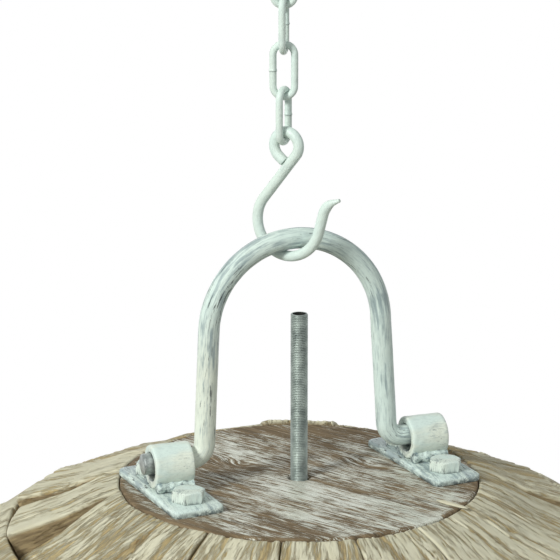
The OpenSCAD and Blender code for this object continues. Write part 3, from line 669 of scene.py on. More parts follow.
hook_points, hook_faces, hook_skin = bar_rings(
    hook_path, hook_headings, hook_radii, saddle, (math.cos(HOOK_TURN), math.sin(HOOK_TURN), 0),
    (0, 0, 1), sides=28, uneven=0.015, seed=5)
make_piece("hook_wire", hook_points, hook_faces, [wire_paint], "hook", ["hanging_hook"],
           {"skin": hook_skin})

# %% [markdown]
# ## The chain
#
# Each link is a closed loop of 4 mm wire, welded at the middle of one side, where a small ring
# of metal stands proud. The links hang at different turns, as they do in the photograph, and
# the weld is on one side or the other.

# %% Chain links
LINK_WIRE = 4 * MM
BOW_R = 6 * MM
LINK_TURNS = (-20, 60, -25, 45)
WELD_SIDES = (1, 1, -1, 1)
WELD_PROUD = 0.17
WELD_HALF = 0.55 * MM
for number, (turn, weld_side) in enumerate(zip(LINK_TURNS, WELD_SIDES), start=1):
    low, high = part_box(f"chain_link_{number}")
    side = high.z - low.z - LINK_WIRE - 2 * BOW_R
    middle = Vector((0, 0, (low.z + high.z) / 2))
    loop = [(side / 2, 0), (BOW_R, 180), (side, 0), (BOW_R, 180), (side / 2, 0)]
    path, headings = (part[:-1] for part in walk_bar(loop, 0.7 * MM))
    weld = np.exp(-(path[:, 0] / WELD_HALF) ** 2) * (path[:, 1] < BOW_R)
    radii = LINK_WIRE / 2 * (1 + WELD_PROUD * weld)
    across = Vector((math.cos(math.radians(turn)), math.sin(math.radians(turn)), 0)) * weld_side
    points, faces, skin = bar_rings(
        path, headings, radii, middle + across * BOW_R, (0, 0, 1), -across, sides=24, closed=True,
        uneven=0.02, seed=10 + number)
    make_piece(f"link_{number}_wire", points, faces, [wire_paint], f"link_{number}",
               [f"chain_link_{number}"], {"skin": skin})

# %% [markdown]
# ## The threaded lamp tube
#
# A hollow M10 tube with a fine 1 mm thread, cut as one long helix. The thread is real geometry,
# because its fine shadows are what the eye reads on it. The same helix, with no bore, makes the
# bolts' shanks under the disc.

# %% Threads
TUBE_R = 5 * MM
TUBE_PITCH = 1 * MM
TUBE_BORE_R = 3.8 * MM
TUBE_SIDES = 32


def thread_loops(radius, pitch, low, high, sides, depth=0.45 * MM, per_turn=5):
    """Rings of points up the outside of a thread that fades out at both ends."""
    rows = int(round((high - low) / pitch * per_turn))
    heights = np.linspace(low, high, rows + 1)[:, None]
    angle = round_angles(sides)
    phase = (heights / pitch - angle / (2 * math.pi)) % 1
    groove = depth * (0.5 + 0.5 * np.cos(2 * math.pi * phase)) ** 1.3
    fade = step_up(np.minimum(heights - low, high - heights), -0.2 * pitch, 0.6 * pitch)
    r = radius - groove * fade - (1 - fade) * depth
    return np.stack([r * np.cos(angle), r * np.sin(angle), np.broadcast_to(heights, r.shape)], axis=2)


tube_low, tube_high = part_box("threaded_tube")
thread = thread_loops(TUBE_R, TUBE_PITCH, tube_low.z, tube_high.z, TUBE_SIDES)
bore = [level_ring(TUBE_BORE_R, height, TUBE_SIDES) for height in (tube_high.z, tube_low.z)]
points, faces = stack_loops(np.concatenate([thread, bore]), ring=True)
# The bore's faces take the nearly black steel, painted shade inside the tube.
in_bore = np.arange(len(faces)) // TUBE_SIDES == len(thread)
make_piece("lamp_tube", points + np.array([SHADE.x, SHADE.y, 0]), faces, [galvanised, painted_shade_steel],
           "shade", ["threaded_tube"], face_finish=in_bore, crease=60)

# %% [markdown]
# ## The hinge lugs
#
# On each side a short thick tube is welded to a foot plate, and the plate is bolted through the
# disc. The plates were cut with worn, rounded edges and sit a little askew under their tubes.
# The welds are rough beads, thickly painted over, and each bolt has a chamfered hexagon head.
# The plate comes first: loops of the same outline, each a little smaller and higher.

# %% Foot plate
FOOT_TURN = 4.6
FOOT = (31 * MM, 88 * MM, 4 * MM)
FOOT_CORNER = 5 * MM


def rounded_outline(width, length, corner, count=200):
    """Evenly spaced points round a rectangle with round corners."""
    arc = np.linspace(0, math.pi / 2, 9)
    middles = [(1, 1), (-1, 1), (-1, -1), (1, -1)]
    loop = np.concatenate([
        np.stack([x * (width / 2 - corner) + corner * np.cos(arc + k * math.pi / 2),
                  y * (length / 2 - corner) + corner * np.sin(arc + k * math.pi / 2)], axis=1)
        for k, (x, y) in enumerate(middles)])
    loop = np.concatenate([loop, loop[:1]])
    gone = walked(loop)
    even = np.linspace(0, gone[-1], count, endpoint=False)
    return np.stack([np.interp(even, gone, loop[:, 0]), np.interp(even, gone, loop[:, 1])], axis=1)


def foot_plate(seed):
    """A worn plate about its own middle, standing on zero."""
    width, length, thick = FOOT
    steps = [(0.5, 0), (0, 0.4), (0, thick / MM - 1.5), (0.3, thick / MM - 0.6), (1.0, thick / MM - 0.15)]
    steps += [(inset, thick / MM) for inset in (2, 4, 6.5, 9, 11.5, 14)]
    loops = []
    for inset, height in steps:
        inset *= MM
        flat = rounded_outline(width - 2 * inset, length - 2 * inset, max(FOOT_CORNER - inset, 0.4 * MM))
        loops.append(np.concatenate([flat, np.full((len(flat), 1), height * MM)], axis=1))
    loops = np.array(loops)
    wear = dents_in(loops, 7 * MM, seed)
    outward = loops[:, :, :2] / np.linalg.norm(loops[:, :, :2], axis=2, keepdims=True)
    loops[1:6, :, :2] -= outward[1:6] * (wear[1:6, :, None] * 0.5 * MM)
    loops[3:, :, 2] -= wear[3:] * 0.25 * MM
    return stack_loops(loops)


print("a foot plate is", [round(size / MM) for size in FOOT], "mm")

# %% [markdown]
# The hinge tube is one profile turned round its axis: up the bore, over a rounded lip, along the
# outside and back. Only the outside is dented, so that the bail's end still turns in the bore.

# %% Hinge tube
ROUND_SIDES = 72
HINGE_R = 12.5 * MM
HINGE_BORE_R = 8 * MM
HINGE_LIP = 0.9 * MM


def hinge_tube(radius, bore, length, seed):
    """A thick tube along X about its own middle, with rounded lips."""
    half, lip = length / 2, HINGE_LIP
    profile = [(bore, -half + lip), (bore + lip * 0.4, -half + lip * 0.2), (bore + lip, -half),
               (radius - lip, -half), (radius - lip * 0.3, -half + lip * 0.3), (radius, -half + lip)]
    profile += [(radius, x) for x in np.linspace(-half + lip, half - lip, 16)[1:-1]]
    profile += [(r, -x) for r, x in profile[:6][::-1]]
    loops = np.array([level_ring(r, x, ROUND_SIDES)[:, [2, 0, 1]] for r, x in profile])
    dents = dents_in(loops, 6 * MM, seed)
    dented = np.array([r > (radius + bore) / 2 for r, x in profile])[:, None]
    loops[:, :, 1:] *= (1 - 0.022 * dents * dented)[..., None]
    return stack_loops(loops, ring=True)


print("a hinge tube's wall is", round((HINGE_R - HINGE_BORE_R) / MM, 1), "mm thick")

# %% [markdown]
# A weld bead is a bar too, a short straight one. Its radius ripples as the rod was moved on, and
# strong noise makes it lumpy. It lies in the corner between the tube and its plate.

# %% Weld bead
BEAD_R = 3.3 * MM
BEAD_OUT = 9.4 * MM
BEAD_UP = 2.7 * MM
BEAD_RIPPLE = 0.35 * MM
BEAD_LUMPS = 0.6 * MM


def weld_bead(length, side, seed):
    """A lumpy bead along X in the corner between the tube and its plate."""
    count = 70
    gone = np.linspace(0, length, count)
    lumps = rough_noise(np.stack([gone / (4 * MM), 0 * gone, 0 * gone + seed], axis=1), 3, seed) - 0.5
    radii = BEAD_R + BEAD_RIPPLE * np.sin(gone / (1.1 * MM)) + BEAD_LUMPS * lumps
    radii[[0, -1]] *= 0.6
    return bar_rings(
        np.stack([gone, 0 * gone], axis=1), 0 * gone, radii, (-length / 2, side * BEAD_OUT, BEAD_UP),
        (1, 0, 0), (0, 0, 1), sides=26, uneven=0.32, seed=seed)


print("a bead is about", round(2 * BEAD_R / MM, 1), "mm thick")

# %% [markdown]
# Both sides are built by the same loop, each with its own seed. The paint is thinner on the
# right one. The bores and the plates' feet are darkened as painted shade, and the welds carry
# grime in random patches.

# %% Both lugs
LUG_TOP = SHADE.z + DISC_PROUD
THINNER_PLATE = {"left": 0.02, "right": 0.06}
THINNER_TUBE = {"left": 0.0, "right": 0.055}
lug_paint = painted_steel("paint on the lugs", 0.4, along=0.3)
plate_paint = painted_steel("paint on the plates", 1.0, along=0.2, cream=0.3, lumpy=0.3)
crusty_paint = painted_steel("paint on the welds", 1.5, along=0.7)


def plate_middle(side, height):
    """The point over the middle of a plate, at the given height."""
    low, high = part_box(f"lug_plate_{side}")
    return np.array([(low.x + high.x) / 2, SHADE.y, height])


for seed, side in enumerate(("left", "right"), start=40):
    points, faces = foot_plate(seed)
    # Painted shade: the plate's sides darken towards the disc, along its foot.
    edge = np.clip(1.25 - 0.4 * points[:, 2] / MM, 0, 1)
    thinner = np.full(len(points), THINNER_PLATE[side])
    make_piece(f"foot_plate_{side}", turned(points, FOOT_TURN, plate_middle(side, LUG_TOP)), faces,
               [plate_paint], "shade", [f"lug_plate_{side}"],
               {"skin": points[:, [1, 0, 2]], "edge": edge, "thinner": thinner}, crease=50)
    low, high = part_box(f"lug_tube_{side}")
    centre, tube_length = np.array((low + high) / 2), high.x - low.x
    points, faces = hinge_tube(HINGE_R, HINGE_BORE_R, tube_length, seed + 4)
    # Painted shade: the bore and its inner lip are darkened.
    out = np.hypot(points[:, 1], points[:, 2])
    edge = 1 - step_up(out, HINGE_BORE_R + 0.2 * MM, HINGE_BORE_R + 1.2 * MM)
    thinner = np.full(len(points), THINNER_TUBE[side])
    make_piece(f"hinge_tube_{side}", points + centre, faces, [lug_paint], "shade", [f"lug_tube_{side}"],
               {"skin": points, "edge": edge, "thinner": thinner}, crease=50)
    beads = [weld_bead(tube_length - 0.6 * MM, way, seed + 8 + way) for way in (-1, 1)]
    points, faces, places = join_skins(beads)
    foot = np.array([centre[0], centre[1], LUG_TOP + FOOT[2]])
    edge = step_up(rough_noise(places / (3 * MM), 3, seed), 0.45, 0.65)
    make_piece(f"weld_{side}", points + foot, faces, [crusty_paint], "shade",
               [f"lug_weld_{side}"], {"skin": places, "edge": edge}, crease=60)

# %% [markdown]
# The bolts' heads are hexagons whose top corners are turned off by a flat cone, as on any real
# one. The shanks reach through the disc and the frame plate, and carry a coarser thread.

# %% Bolts
BOLT_R = 5 * MM
BOLT_PITCH = 1.5 * MM
BOLT_AF = 17 * MM
BOLT_HEAD = 6.4 * MM
BOLT_SPACING = 54 * MM
bolt_paint = painted_steel("paint on the bolts", 0.7, along=0.15, cream=0.6, lumpy=0.08)


def bolt_head(seed):
    """A hexagon head standing on zero."""
    angle = round_angles(ROUND_SIDES)
    flats = BOLT_AF / 2 / np.cos((angle + math.pi / 6) % (math.pi / 3) - math.pi / 6)
    loops = []
    for height in (0, 0.3, 1.5, 3, 4.2, 4.9, 5.4, 5.8, 6.1, 6.4):
        height *= MM
        cone = BOLT_AF / 2 * 0.955 + (BOLT_HEAD - height) * 1.75
        r = np.minimum(flats, cone) - 0.25 * MM * (height == 0)
        loops.append(level_ring(r, height, ROUND_SIDES))
    for share in (0.7, 0.4, 0.15):
        loops.append(loops[9] * np.array([share, share, 1]))
    loops = np.array(loops)
    dents = dents_in(loops, 3 * MM, seed)
    loops[1:, :, :2] *= (1 - 0.014 * dents[1:])[..., None]
    loops[8:, :, 2] -= dents[8:] * 0.2 * MM
    return stack_loops(loops)


bolt_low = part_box("lug_bolts")[0]
bolt_skins = []
for seed, (side, way) in enumerate(itertools.product(("left", "right"), (-0.5, 0.5)), start=60):
    middle = plate_middle(side, LUG_TOP + FOOT[2])
    hole = turned(np.array([[0, way * BOLT_SPACING, 0]]), FOOT_TURN, middle)[0]
    head, head_faces = bolt_head(seed)
    bolt_skins.append((turned(head, 30, hole), head_faces, head))
    shank, shank_faces = stack_loops(
        thread_loops(BOLT_R, BOLT_PITCH, bolt_low.z, hole[2] + 0.5 * MM, 24, depth=0.7 * MM, per_turn=4))
    bolt_skins.append((shank + np.array([hole[0], hole[1], 0]), shank_faces, shank))
points, faces, places = join_skins(bolt_skins)
# Painted shade: each head darkens towards its foot on the plate, and the hidden shanks are dark all over.
edge = np.clip(0.9 - 0.45 * places[:, 2] / MM, 0.05, 1) * (places[:, 2] < BOLT_HEAD * 1.01)
make_piece("bolts", points, faces, [bolt_paint], "shade", ["lug_bolts"],
           {"skin": places[:, [2, 0, 1]], "edge": edge}, crease=30)

# %% [markdown]
# ## The wooden top
#
# The disc was brushed hard along its grain, which runs slantwise across it, and then wiped with
# white. The white stayed in fine lines between the brown fibres. Two knots bend the lines round
# them, and the rim is worn smooth and bare.

# %% Grain of the disc
GRAIN_TURN = -60
KNOTS = ((-25.9, 32.7), (43.8, 6.8))
KNOT_LONG, KNOT_WIDE = 17 * MM, 8 * MM
KNOT_BENDS = (9 * MM, 6 * MM)
WANDER = 2.5 * MM


def disc_grain(flat):
    """Places along and across the grain, in metres, with the lines led round the knots."""
    way = math.radians(GRAIN_TURN)
    u = flat[:, 0] * math.cos(way) + flat[:, 1] * math.sin(way)
    v = -flat[:, 0] * math.sin(way) + flat[:, 1] * math.cos(way)
    knot = np.zeros(len(flat))
    bend = WANDER * (grain_noise(u, v, 70, 30, 3, 21) - 0.5)
    for (x, y), led in zip(KNOTS, KNOT_BENDS):
        ku = x * MM * math.cos(way) + y * MM * math.sin(way)
        kv = -x * MM * math.sin(way) + y * MM * math.cos(way)
        near = np.exp(-((u - ku) / KNOT_LONG) ** 2 - ((v - kv) / KNOT_WIDE) ** 2)
        bend = bend + led * near
        knot = np.maximum(knot, near)
    return u, v + bend, knot


print("the grain is turned by", GRAIN_TURN, "degrees and led round", len(KNOTS), "knots")

# %% [markdown]
# The disc is rings of points from its hole to its rim, then down the edge. The brushed lines are
# sunk into the top, more so where a broad noise says that the wood was soft.

# %% Skin of the disc
DISC_SIDES = 720
DISC_HOLE_R = 5.6 * MM
LINE_DEPTH, SOFT_DEPTH, KNOT_DEPTH, CHIP_DEPTH = 0.2 * MM, 0.8 * MM, 0.3 * MM, 0.35 * MM


def disc_skin():
    """The disc about its own axis, with a rounded rim and brushed lines, and its values."""
    hole, top, low = DISC_HOLE_R, DISC_PROUD, DISC_PROUD - DISC_T
    profile = [(hole, low), (hole, top - 1.6 * MM), (hole + 1.6 * MM, top)]
    profile += [(r, top) for r in np.linspace(hole + 2.5 * MM, DISC_R - 2.2 * MM, 96)]
    profile += [(DISC_R - 1.1 * MM, top - 0.15 * MM), (DISC_R - 0.35 * MM, top - 0.6 * MM),
                (DISC_R, top - 1.5 * MM), (DISC_R, low + 0.6 * MM), (DISC_R - 0.6 * MM, low)]
    loops = np.array([level_ring(r, z, DISC_SIDES) for r, z in profile])
    flat = loops.reshape(-1, 3)
    u, v, knot = disc_grain(flat)
    line = grain_noise(u, v, 30, 2.2, 3, 22)
    broad = grain_noise(u, v, 120, 14, 2, 23)
    away = np.linalg.norm(flat[:, :2], axis=1)
    worn = step_up(rough_noise(flat / (20 * MM), 3, 25), 0.3, 0.6)
    worn *= step_up(away, DISC_R - 4 * MM, DISC_R - 0.5 * MM)
    groove = step_up(line, 0.42, 0.68) * (1 - 0.7 * worn)
    sunk = LINE_DEPTH * groove + SOFT_DEPTH * (broad - 0.4) + KNOT_DEPTH * knot
    upper = flat[:, 2] > top - 1.55 * MM
    chips = step_up(rough_noise(flat / (6 * MM), 3, 24), 0.55, 0.75) * worn
    flat[:, 2] -= np.where(upper, np.clip(sunk, 0, None) + CHIP_DEPTH * chips, 0)
    points, faces = stack_loops(loops, ring=True)
    faces = [face[::-1] for face in faces]
    far_side = step_up(0.6 * flat[:, 0] + 0.8 * flat[:, 1], 25 * MM, 95 * MM)
    return points, faces, {"grain": np.stack([u, v, flat[:, 2]], axis=1), "knot": knot,
                           "worn": np.maximum(worn, 0.45 * far_side)}


points, faces, values = disc_skin()
print("the disc's skin has", len(points), "points")

# %% [markdown]
# The white is no even coat. Four noises of different length and width are added up, and where
# the sum is high the white has stayed. Less is left on the rim, on the knots and on the far side.

# %% Brushed wood
BROWN_WOOD = [(0.30, (0.082, 0.058, 0.033)), (0.52, (0.175, 0.121, 0.068)), (0.75, (0.31, 0.228, 0.138))]
RUBBED_WHITE = (0.76, 0.77, 0.69)


def brushed_wood(name):
    """Brown wood with white in the fine lines between its fibres, and less of it where it is worn."""
    make = Finish(name, roughness=0.7)
    hair = make.streaks("grain", 0.05, 1250, 5, 0.66)
    fleck = make.streaks("grain", 0.22, 620, 4, 0.65)
    band = make.streaks("grain", 0.12, 75, 4, 0.6)
    patch = make.streaks("grain", 0.5, 26, 3, 0.5)
    wood = make.ramp(make.streaks("grain", 0.05, 420, 4, 0.6), BROWN_WOOD)
    lean = make.plus(
        make.times(hair, 0.46), make.times(band, 0.22), make.times(fleck, 0.22), make.times(patch, 0.22),
        make.times(make.value("worn"), -0.10), make.times(make.value("knot"), -0.03))
    white = make.between(lean, 0.53, 0.61)
    colour = make.mix(make.times(white, 0.9), wood, RUBBED_WHITE)
    return make.finish(colour, make.between(white, 1.4, -0.2), make.bump(hair, 0.0006))


make_piece("disc_top", points + np.array(SHADE), faces, [brushed_wood("brushed brown wood")], "shade",
           ["top_disc"], values, crease=50)

# %% [markdown]
# ## Boards
#
# A board is a flat slab with eight corners, and its solid already has them. So each board is
# found in its course's solid, its corners are sorted, and a finer slab is laid between them:
# a grid of points on top, sunk into gouges and cracks that run with the grain, then four edges.
# Old limewashed boards are never smooth. Their corners are worn round, and no two are level.

# %% Corners of the boards
COURSES = 7
AT_CORNER = 0.96


def loose_boards(node):
    """The separate slabs of a solid, each as an array of its points."""
    mesh = node_objects[node].data
    flat = np.zeros(len(mesh.vertices) * 3)
    mesh.vertices.foreach_get("co", flat)
    points, which = np.unique(np.round(flat.reshape(-1, 3), 6), axis=0, return_inverse=True)
    which = which.ravel()
    parent = list(range(len(points)))

    def root(i):
        while parent[i] != i:
            parent[i] = parent[parent[i]]
            i = parent[i]
        return i

    for edge in mesh.edges:
        parent[root(which[edge.vertices[0]])] = root(which[edge.vertices[1]])
    groups = {}
    for i in range(len(points)):
        groups.setdefault(root(i), []).append(i)
    return [points[group] for group in groups.values()]


def board_corners(cloud):
    """Corners as [layer][end][side]: layer 0 is inside, end 0 is towards the disc."""
    spot = cloud - DOME_MIDDLE
    radius = np.linalg.norm(spot, axis=1)
    polar = np.arctan2(np.hypot(spot[:, 0], spot[:, 1]), spot[:, 2])
    turn = np.arctan2(spot[:, 1], spot[:, 0])
    middle = np.arctan2(np.sin(turn).sum(), np.cos(turn).sum())
    swing = (turn - middle + math.pi) % (2 * math.pi) - math.pi
    away = swing * np.sin(polar)
    split = (polar.min() + polar.max()) / 2
    corners = np.zeros((2, 2, 2, 3))
    for end, near in enumerate((polar < split, polar >= split)):
        for side, sign in enumerate((-1, 1)):
            pick = np.flatnonzero(near & (np.sign(swing) == sign))
            edge = pick[np.abs(away[pick]) > np.abs(away[pick]).max() * AT_CORNER]
            corners[0, end, side] = cloud[edge[np.argmin(radius[edge])]]
            corners[1, end, side] = cloud[edge[np.argmax(radius[edge])]]
    return corners


courses = [[board_corners(cloud) for cloud in loose_boards(f"stave_course_{number}")]
           for number in range(1, COURSES + 1)]
print("boards in each course:", [len(boards) for boards in courses])

# %% [markdown]
# A board's grid has close lines near its rim, at these distances in mm, because the edge is worn
# round there. The lines between are even.

# %% Grid of a board
ARRIS = (0, 0.35, 0.9, 1.7)


def grid_lines(length, spacing):
    """Places along an edge, from 0 to 1, closer together at its two ends."""
    rim = np.array(ARRIS) * MM
    inside = max(1, int(math.ceil((length - 2 * rim[-1]) / spacing)))
    middle = np.linspace(rim[-1], length - rim[-1], inside + 1)
    return np.concatenate([rim[:-1], middle, length - rim[:-1][::-1]]) / length


def between_corners(square, u, v):
    """Points inside a square of corners [end][side], at arrays of u along and v across."""
    u, v = u[..., None], v[..., None]
    return ((1 - u) * (1 - v) * square[0, 0] + (1 - u) * v * square[0, 1]
            + u * (1 - v) * square[1, 0] + u * v * square[1, 1])


print("lines along 50 mm:", np.round(grid_lines(50 * MM, 9 * MM) * 50, 1).tolist())

# %% [markdown]
# The gouges are noise stretched along the grain, so that they are long and narrow, and the
# cracks are the thin valleys of another noise. Each point also keeps how deep it lies, which
# lets the limewash stay out of the pits and paints shade into the deepest of them.


# %% Gouges and cracks
SWAY = 1.4 * MM
FIBRE_DEPTH, CRACK_DEPTH = 0.3 * MM, 0.9 * MM
LEAST_GOUGE, ROUGH_GOUGE = 0.2 * MM, 0.6 * MM


def weathered(along, across, seed, rough, raised):
    """How far each point of a board has sunk, in metres, and how deep in a pit it lies."""
    def grain(long, wide, octaves, extra):
        return grain_noise(along.ravel(), across.ravel(), long, wide, octaves, seed + extra, seed)

    sway = SWAY * (grain(70, 45, 2, 1) - 0.5)
    gouge = step_up(grain(24, 3.2, 4, 2), 0.52, 0.66)
    fibre = grain(11, 1.3, 3, 3)
    split = 1 - np.abs(grain(60, 7, 3, 4) - 0.5) * 2
    crack = step_up(split, 0.955, 0.995) * step_up(grain(40, 12, 2, 5), 0.48, 0.6)
    sunk = (LEAST_GOUGE + ROUGH_GOUGE * rough) * gouge + FIBRE_DEPTH * fibre + CRACK_DEPTH * crack - sway
    sunk = sunk - raised * (1 - step_up(along.ravel(), 10 * MM, 40 * MM))
    return sunk.reshape(along.shape), (0.75 * gouge + 0.9 * crack + 0.2 * fibre).reshape(along.shape)


sample = np.meshgrid(np.linspace(0, 0.1, 60), np.linspace(0, 0.04, 40), indexing="ij")
print("a rough board sinks by up to", round(weathered(*sample, 5, 1.0, 0)[0].max() / MM, 2), "mm")

# %% [markdown]
# The boards of a course meet in curves, since each lies between two level circles of the dome,
# and the first ones are cut to the round disc. So each end of the flat grid slides along its
# board to where the curve is.


# %% Curved ends
TRIES = 5


def end_shift(line, ahead, target, upright):
    """How far each point of an end line moves along the board to meet its curved cut."""
    moved = np.zeros(len(line))
    for _ in range(TRIES):
        spot = line + moved[:, None] * ahead - DOME_MIDDLE
        out = np.hypot(spot[:, 0], spot[:, 1])
        if upright:
            moved += target - out
        else:
            moved += (target - np.arctan2(out, spot[:, 2])) * np.linalg.norm(spot, axis=1)
    return moved


def cut_ends(sheet, u, cuts):
    """Slides the points of a flat grid along the board, so that both ends follow their cuts."""
    ahead = sheet[-1].mean(axis=0) - sheet[0].mean(axis=0)
    ahead /= np.linalg.norm(ahead)
    first = end_shift(sheet[0], ahead, *cuts[0])
    last = end_shift(sheet[-1], ahead, *cuts[1])
    return sheet + ((1 - u) * first + u * last)[..., None] * ahead


def polar_of(point):
    """The angle at the dome's middle between straight up and a point."""
    spot = point - DOME_MIDDLE
    return math.atan2(math.hypot(spot[0], spot[1]), spot[2])


print("each course spans", [
    round(math.degrees(polar_of(boards[0][1, 1, 0]) - polar_of(boards[0][1, 0, 0])), 1)
    for boards in courses], "degrees")

# %% [markdown]
# One board is now the worn grid on top, four walls round it and a flat back. Its edge is rounded
# by how near a point is to a side or an end, and a last noise chews that edge. The lift is how
# many mm the outer end of the board stands up, and the rise does the same for the inner end.


# %% One board
SIDE_ROUND = 1.9 * MM
END_ROUND = 1.6 * MM
CHEWED = 1.1 * MM
WALL_SHARES = (0.10, 0.5, 1.0)
WALL_DEPTH = 0.15


def board_mesh(corners, spacing, seed, rough, arc, lift, rise):
    """Points, faces, places along the grain, depths and bare edges of one board."""
    inner, outer = corners
    length = np.linalg.norm(outer[1].mean(axis=0) - outer[0].mean(axis=0))
    width = np.linalg.norm(outer[1, 1] - outer[1, 0])
    u, v = np.meshgrid(grid_lines(length, spacing), grid_lines(width, spacing), indexing="ij")
    along, across = u * length, v * width
    cuts = [(arc, True) if arc else (polar_of(outer[0, 0]), False), (polar_of(outer[1, 0]), False)]
    top = cut_ends(between_corners(outer, u, v), u, cuts)
    base = cut_ends(between_corners(inner, u, v), u, cuts)
    thick = np.linalg.norm(top - base, axis=-1, keepdims=True)
    up = (top - base) / thick
    base = base + (lift * MM * u)[..., None] * up
    sunk, low = weathered(along, across, seed, rough, rise * MM)
    chew = grain_noise(along.ravel(), across.ravel(), 6, 6, 3, seed + 9, seed / (6 * MM)).reshape(u.shape)
    to_side = np.minimum(v, 1 - v) * width
    to_end = np.minimum(u, 1 - u) * length
    rounding = (0.5 + 1.2 * chew) * CHEWED * (
        np.clip(1 - to_side / SIDE_ROUND, 0, 1) ** 2 + np.clip(1 - to_end / END_ROUND, 0, 1) ** 2)
    top = base + up * (thick - (sunk + rounding)[..., None])

    rows, columns = u.shape
    index = np.arange(rows * columns).reshape(rows, columns)
    loop = np.concatenate([index[:, 0], index[-1, 1:], index[-2::-1, -1], index[0, -2:0:-1]])
    grain = np.stack([along, across, 0 * u], axis=-1).reshape(-1, 3)
    top, base = top.reshape(-1, 3), base.reshape(-1, 3)
    walls = [(top[loop] * (1 - share) + base[loop] * share,
              grain[loop] + np.array([0, 0, share * thick.mean()])) for share in WALL_SHARES]
    points = np.concatenate([top, *(wall[0] for wall in walls)])
    shift = np.random.default_rng(seed).uniform(0, 40, 3)
    grain = np.concatenate([grain, *(wall[1] for wall in walls)]) + shift
    on_wall = len(points) - len(top)
    quads = np.stack([index[:-1, :-1], index[1:, :-1], index[1:, 1:], index[:-1, 1:]], axis=-1)
    faces = quads.reshape(-1, 4).tolist()
    loops = [loop, *(len(top) + np.arange(on_wall).reshape(-1, len(loop)))]
    for upper, lower in itertools.pairwise(loops):
        faces += np.stack([np.roll(upper, -1), upper, lower, np.roll(lower, -1)], axis=-1).tolist()
    faces.append(loops[-1][::-1].tolist())
    a, b, c = points[quads[rows // 2, columns // 2][:3]]
    if np.dot(np.cross(b - a, c - a), up[rows // 2, columns // 2]) < 0:
        faces = [face[::-1] for face in faces]
    low = np.concatenate([low.ravel(), np.full(on_wall, WALL_DEPTH)])
    return points, faces, grain, low, np.repeat([0.0, 1.0], [len(top), on_wall])


sample = board_mesh(courses[0][0], 9 * MM, 100, 0.5, None, 0, 0)
print("a board at a coarse grid has", len(sample[1]), "faces")

# %% [markdown]
# ## Limewash on rough wood
#
# Under the wash is a brown wood whose colour runs in streaks along the grain. The wash is thick
# in some places and gone in others, with a ragged edge. It never reaches the bottom of a gouge.
# Each board has its own tone, so that the dome reads as many pieces of old timber.


# %% Limewashed wood
def limewashed(name, wood, wash, thickness, sides):
    """Boards: wood is dark to light, wash is dirty to clean, sides is the colour of cut edges."""
    make = Finish(name, roughness=0.75)
    fibre = make.streaks("grain", 0.14, 620, 5, 0.6)
    figure = make.streaks("grain", 0.3, 85, 4, 0.6, twist=0.6)
    flake = make.streaks("grain", 0.15, 560, 7, 0.72, slant=0.2)
    patch = make.streaks("grain", 0.2, 80, 5, 0.65, slant=-0.12)
    cloud = make.streaks("grain", 0.6, 120, 4, 0.6)
    hairs = make.streaks("grain", 0.07, 1500, 4, 0.6)
    low = make.value("low")
    figured = make.plus(make.times(fibre, 0.55), make.times(figure, 0.55))
    timber = make.ramp(figured, [(0.34, wood[0]), (0.47, wood[1]), (0.68, wood[2])])
    hold = make.plus(make.times(flake, 0.6), make.times(patch, 0.45),
                     make.times(make.value("tone"), 0.16), make.times(low, -0.10))
    cover = make.between(hold, thickness - 0.02, thickness + 0.10)
    colour = make.mix(make.times(cover, 0.92), timber, make.mix(cloud, wash[0], wash[1]))
    # Painted shade: the deepest gouges and cracks are darkened towards the darkest wood.
    colour = make.mix(make.times(make.between(low, 0.55, 1.15), 0.4), colour, wood[0])
    edge = make.mix(make.between(fibre, 0.35, 0.7), sides[0], sides[1])
    colour = make.mix(make.times(make.value("bare"), 0.85), colour, edge)
    normal = make.bump(cover, 0.0003, make.bump(flake, 0.0007, make.bump(hairs, 0.0003)))
    return make.finish(colour, None, normal)


board_finish = limewashed(
    "limewashed boards",
    wood=[(0.19, 0.12, 0.048), (0.43, 0.32, 0.155), (0.60, 0.49, 0.28)],
    wash=[(0.54, 0.485, 0.335), (0.80, 0.77, 0.635)],
    thickness=0.517,
    sides=[(0.20, 0.125, 0.05), (0.44, 0.315, 0.155)])
print("boards' finish has", len(board_finish.node_tree.nodes), "nodes")

# %% [markdown]
# ## The dome
#
# The first course is seen closest, so its grid is finer. Its inner ends follow the round disc,
# and each of its sixteen boards has a tone, roughness and lift of its own, counted from the front
# left past the camera. One of them stands prouder than the rest. The lower courses draw theirs
# at random. All the boards of a course are one piece, as they are one solid in the frame.

# %% Courses of boards
FIRST_GRID = 1.1 * MM
LOWER_GRID = 4.0 * MM
ARC_GAP = 0.6 * MM
FIRST_TONES = (0.45, 0.55, 0.5, 0.75, 0.8, 0.6, 0.5, 0.5, 0.6, 0.8, 0.5, 0.4, 0.7, 0.75, 0.35, 0.5)
FIRST_ROUGH = (0.8, 0.5, 0.7, 0.3, 0.25, 0.3, 0.4, 0.3, 0.3, 0.3, 0.3, 0.3, 0.6, 0.5, 0.8, 1.0)
FIRST_LIFTS = (-1.5, -1.5, 0, 0, 0, -3, -0.5, -1.2, -2, -1.5, 0, 0, 0, -1.5, -6, -1)
FIRST_RISE, PROUD_RISE, LOWER_RISE = 2.7, 5.1, 1.6
PROUD_BOARD = 9
FIRST_START = -139


def first_look(corners):
    """The tone of a board in the first course, and its roughness, arc, lift and rise."""
    middle = corners.mean(axis=(0, 1, 2)) - np.array(SHADE)
    turn = math.degrees(math.atan2(middle[1], middle[0]))
    rank = int((turn - FIRST_START) % 360 * len(FIRST_TONES) / 360)
    rise = PROUD_RISE if rank == PROUD_BOARD else FIRST_RISE
    return FIRST_TONES[rank], (FIRST_ROUGH[rank], DISC_R + ARC_GAP, FIRST_LIFTS[rank], rise)


